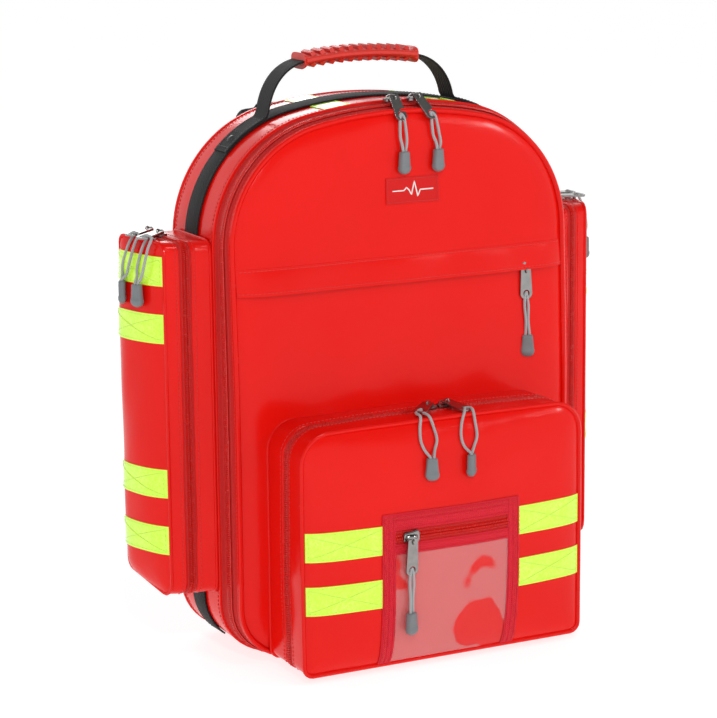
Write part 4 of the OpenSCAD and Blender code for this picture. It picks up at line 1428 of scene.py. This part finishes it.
def build_handle():
    path, half = handle_path()
    tails = []
    for s in (-1, 1):
        xs = grip_mid + s * (half + 2.0 + 3.4 * np.arange(12))
        tails.append(np.stack([xs, np.full(12, band_mid), arch_top(xs, gusset_out + 2.6)], 1))
    smooth = spline(np.vstack([tails[0][::-1], path[1:-1], tails[1]]), 150)
    piece = Shape().strip(smooth, (0, 1, 0), TAPE - 0.6, 1.9).make(
        "handle_strap", BLACK_WEB, None, replaces=("handle_webbing",))
    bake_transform(piece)
    seam = Shape()
    for tail in tails:
        up = arch_up(tail)
        near, far = tail + up * 1.2 - (0, 9.5, 0), tail + up * 1.2 + (0, 9.5, 0)
        rows = [near, far] + [np.linspace(near[a], far[b], 8) for a, b in
                              ((1, 1), (6, 6), (10, 10), (1, 10), (10, 1))]
        for row in rows:
            stitch_path(seam, row, up[5], 3.2, 2.3)
    seam.make("handle_box_stitches", thread("thread_dark", (0.07, 0.07, 0.072)), "root",
              "webbing_black")
    rivets(tails)
    build_grip()


def rivets(tails):
    """A black domed rivet through each tail."""
    shape = Shape()
    for tail in tails:
        at, up = tail[8], arch_up(tail)[8]
        side = unit(np.cross(up, (0, 1, 0)))
        rings = []
        for r, h in ((0.2, 2.6), (1.6, 2.5), (2.9, 2.0), (3.6, 1.3), (3.7, 0.6)):
            rings.append([at + up * h + r * (math.cos(w) * side + math.sin(w) * np.array((0, 1, 0)))
                          for w in np.linspace(0, 2 * math.pi, 16, endpoint=False)])
        shape.grid(rings, close_u=True)
    shape.make("handle_rivets", BLACK_PLASTIC, "root")


def build_grip():
    """The moulded grip: a sleeve that arches with the strap, flared at both ends, with side
    rails and with slanted ribs over and under."""
    x0, x1 = GRIP[0][0], GRIP[1][0]
    rings = []
    for x in np.linspace(x0, x1, 56):
        flare = math.exp(-((grip_reach - abs(x - grip_mid)) / 3.4) ** 2)
        y, z = oval(24, 12.8 + 1.2 * flare, 3.9 + 3.4 * flare, 0.55, 0.6)
        rings.append(np.stack([np.full(24, x), band_mid + y, float(grip_height(x)) + z], 1))
    grip = Shape().loft(rings)
    count, margin, axis = 11, 6.0, np.array((0, 1.0, 0))
    for k in range(count):
        share = (k + 0.5) / count
        x = x0 + margin + (x1 - x0 - 2 * margin) * share
        for way, tall in ((1, 3.9), (-1, 3.6)):
            base = np.array((x, band_mid, float(grip_height(x)) + way * 3.0))
            out = unit(((share - 0.5) * 1.1, 0, way))
            grip.boxes([base + out * tall / 2], [[np.cross(out, axis), axis, out]],
                       (5.0, 22.5, tall), 0.8)
    xs = np.linspace(x0 + 1.5, x1 - 1.5, 30)
    for side in (-1, 1):
        rail = np.stack([xs, np.full(30, band_mid + side * 12.6), grip_height(xs) + 0.6], 1)
        grip.tube(rail, 2.9, 8)
    grip.make("grip", GRIP_RED, "handle", replaces=("handle_grip",), smooth=45, bevel=0.5)


# ---------------------------------------------------------------- back, pads and straps

def mesh_points(piece):
    return np.array([v.co for v in piece.data.vertices])


def inflate(piece, voxel, cap):
    """Swells a closed form with a short cloth simulation, no point moving more than cap mm."""
    modifier = piece.modifiers.new("remesh", "REMESH")
    modifier.mode = "VOXEL"
    modifier.voxel_size = voxel * MM
    apply_modifiers(piece)
    rest = mesh_points(piece)
    modifier = piece.modifiers.new("cloth", "CLOTH")
    modifier.settings.quality = 5
    modifier.settings.mass = 0.15
    modifier.settings.use_pressure = True
    modifier.settings.uniform_pressure_force = 4.0
    modifier.settings.effector_weights.gravity = 0.0
    frames = 20
    modifier.point_cache.frame_start = 1
    modifier.point_cache.frame_end = frames
    for number in range(1, frames + 1):
        bpy.context.scene.frame_set(number)
    apply_modifiers(piece)
    bpy.context.scene.frame_set(1)
    move = mesh_points(piece) - rest
    size = np.linalg.norm(move, axis=1)[:, None]
    limit = cap * MM
    move *= np.where(size > limit, limit / np.maximum(size, 1e-9), 1.0)
    piece.data.vertices.foreach_set("co", (rest + move).ravel())
    piece.data.update()


def apply_modifiers(piece):
    graph = bpy.context.evaluated_depsgraph_get()
    made = bpy.data.meshes.new_from_object(piece.evaluated_get(graph))
    piece.modifiers.clear()
    piece.data = made
    made.shade_smooth()


def build_back():
    for name, look, slot, inset, depth, thick, rows, cols, node in (
            ("back_fabric", BLACK_CLOTH, "fabric_black", 1.5, 2.0, -1.8, 50, 30, "rear_panel"),
            ("frame_board", BLACK_PLASTIC, "board", 4.0, -0.8, -1.6, 30, 20, "frame_sheet"),
            ("back_lining", GREY_LINING, "lining", 4.2, -3.0, -0.5, 30, 20, None)):
        fill(ARCH, inset - gusset_out, lambda x, z: rear_y + depth, thick, rows, cols).make(
            name, look, "root", slot, replaces=(node,) if node else ())
    low, high = corners_of("back_pad")
    left, right, base, top = low[0] + 2, high[0] - 2, low[2] + 2, high[2] - 2
    pads = [(left, -34, base, base + 176), (34, right, base, base + 176),
            (left, -34, base + 186, top), (34, right, base + 186, top), (-28, 28, base, top)]
    y0, y1 = low[1] + 0.4, high[1] - 3.0
    for k, (x0, x1, z0, z1) in enumerate(pads):
        xs, zs = np.meshgrid(np.linspace(x0, x1, 18), np.linspace(z0, z1, 34))
        u = np.clip(np.abs(xs - (x0 + x1) / 2) / ((x1 - x0) / 2), 0, 1)
        w = np.abs(zs - (z0 + z1) / 2) / ((z1 - z0) / 2)
        rise = (np.clip((1 - u ** 5) * (1 - w ** 8), 0, 1)) ** 0.45
        front = np.stack([xs, y0 + 1.2 + (y1 - y0 - 1.2) * rise, zs], 2)
        back = np.stack([xs, np.full_like(xs, y0), zs], 2)
        shape = Shape().grid(front).grid(back)
        for edge in (np.s_[0], np.s_[-1], np.s_[:, 0], np.s_[:, -1]):
            shape.grid([front[edge], back[edge]])
        pad = shape.make(f"back_pad_{k + 1}", BLACK_MESH, "root", replaces=("back_pad",))
        merge_points(pad)
        inflate(pad, 5.0, 4.0)
    seam = Shape()
    for x0, x1, z0, z1 in pads:
        for a, b in sides_of(x0, x1, z0, z1):
            stitch_path(seam, np.insert(line(a, b, 20), 1, low[1] + 0.6, axis=1), (0, 1, 0))
    seam.make("back_stitches", thread("thread_grey", (0.09, 0.09, 0.095)), "root", "pad_mesh")


def merge_points(piece, distance=0.0002):
    work = bmesh.new()
    work.from_mesh(piece.data)
    bmesh.ops.remove_doubles(work, verts=work.verts, dist=distance)
    bmesh.ops.recalc_face_normals(work, faces=work.faces)
    work.to_mesh(piece.data)
    work.free()


# Y and Z of the curve a shoulder strap follows, from its upper anchor down
STRAP = [(57.0, 455.0), (106.0, 494.0), (132.0, 330.0), (84.0, 200.0)]


def strap_points(t):
    """The strap's centre line in Y and Z, and its outward normal."""
    p = curve(STRAP, t)
    d = unit_rows(np.gradient(p, axis=0))
    return p, np.stack([-d[:, 1], d[:, 0]], 1)


def build_strap(side, sign):
    low, high = corners_of(side + "_shoulder_pad")
    x_mid, half = (low[0] + high[0]) / 2, (high[0] - low[0]) / 2
    body = side + "_strap"
    share = np.linspace(0, 1, 40)
    p, n = strap_points(0.12 + 0.81 * share)
    widths = half * (1 - 0.22 * np.maximum(0, share - 0.55) / 0.45)
    ends = (1 - 0.5 * (np.maximum(0, 0.05 - share) / 0.05) ** 2) * (
        1 - 0.45 * (np.maximum(0, share - 0.96) / 0.04) ** 2)
    rings = []
    for spot, out, width in zip(p, n, widths * ends):
        across, thick = oval(20, width - 2.5, 4.6, 0.6, 0.75)
        rings.append(np.stack([x_mid + across, spot[0] + out[0] * thick,
                               spot[1] + out[1] * thick], 1))
    pad = Shape().loft(rings).make(side + "_shoulder_padding", BLACK_MESH, body,
                                   replaces=(side + "_shoulder_pad",))
    inflate(pad, 5.0, 3.0)
    edge = Shape()
    for s in (-1, 1):
        edge.tube(np.stack([x_mid + s * (widths - 1.6), p[:, 0], p[:, 1]], 1), 2.0, 8)
    edge.make(side + "_pad_binding", BLACK_CLOTH, body)
    t = np.linspace(0.0, 0.93, 60)
    q, m = strap_points(t)
    lift = 7.2 * np.clip((t - 0.04) / 0.12, 0, 1)
    path = np.insert(q + m * lift[:, None], 0, x_mid, axis=1)
    Shape().strip(path, RIGHT, TAPE, WEB).make(side + "_strap_webbing", BLACK_WEB, body)
    ups = np.insert(m, 0, 0.0, axis=1)
    rows = []
    for s in (-1, 1):
        at, along = line_points(path + (s * 10.5, 0, 0) + ups * 0.85, ZIP_SEAM)
        near = np.array([ups[np.argmin(np.linalg.norm(path - a, axis=1))] for a in at])
        rows.append((at, along, near))
    sew(side + "_strap_stitches", body, "webbing_black", *rows,
        colour=thread(side + "_thread", (0.07, 0.07, 0.072)))
    ladder_lock(side, x_mid, body)
    lower_webbing(side, x_mid)
    sternum(side, sign, x_mid, body)


def ladder_lock(side, x, body):
    """The strap adjuster: a frame with three bars."""
    low, high = corners_of(side + "_ladder_lock")
    y, z0, z1 = (low[1] + high[1]) / 2, low[2], high[2]
    mid, w = (z0 + z1) / 2, (high[0] - low[0]) / 2 - 1.6
    shape = Shape()
    for s in (-1, 1):
        shape.tube([(x + s * w, y, z0 + 1.5), (x + s * w, y + 0.4, mid),
                    (x + s * w, y, z1 - 1.5)], 1.9, 8)
    for z, r in ((z0 + 2.0, 1.7), (mid, 1.5), (z1 - 2.0, 1.9)):
        shape.tube(line((x - w, y, z), (x + w, y, z), 6), r, 8)
    shape.make(side + "_adjuster", BLACK_PLASTIC, body,
               replaces=(side + "_ladder_lock",), smooth=60)


def lower_webbing(side, x):
    """The webbing from the base up into the adjuster, and the patch that anchors it."""
    start, end = np.array((57.0, 24.0)), curve(STRAP, [0.93])[0] - (0, 30)
    run = curve([start, start + (22, 20), end + (6, -60), end], np.linspace(0, 1, 40))
    run = np.vstack([run, [run[-1] + (k, 4.0 * k) for k in (1, 2, 3, 4)]])
    Shape().strip(np.insert(run, 0, x, axis=1), RIGHT, TAPE, WEB).make(
        side + "_lower_strap", BLACK_WEB, side + "_tail",
        replaces=(side + "_lower_webbing",))
    xs = np.linspace(x - 17, x + 17, 8)
    Shape().grid([[(a, rear_y + 2.3 + d, z) for a in xs] for z, d in
                  ((8, 0), (9, 1.6), (20, 2.2), (34, 1.8), (36, 0))]).make(
        side + "_strap_anchor", BLACK_CLOTH, "root")


def sternum(side, sign, x_mid, body):
    """Half of the chest strap, with its half of the buckle."""
    low, high = corners_of(side + "_sternum_strap")
    y, z = low[1] + 2.5, (low[2] + high[2]) / 2
    run = line((x_mid + sign * 22, y, z), (sign * 20, y + 0.5, z), 20)
    Shape().strip(run, UP, 20, 1.4).make(side + "_chest_webbing", BLACK_WEB, body,
                                         replaces=(side + "_sternum_strap",))
    rings = []
    for x, h, d in ((2.4, 9, 2.2), (4, 11, 3.2), (9, 12.5, 3.6), (16, 12.5, 3.4), (21, 13, 2.8),
                    (23.6, 12, 2.0)):
        rise, thick = oval(20, h, d, 0.5, 0.6)
        rings.append(np.stack([np.full(20, sign * x), y + 1.0 + thick, z + rise], 1))
    Shape().loft(rings).make(side + "_chest_buckle", BLACK_PLASTIC, body)


# ---------------------------------------------------------------- build

build_stage()
build_main_bag()
build_panel()
build_front_pocket()
for side, sign in (("left", -1), ("right", 1)):
    build_side_pocket(side, sign)
    build_strap(side, sign)
build_pulls()
build_handle()
build_back()
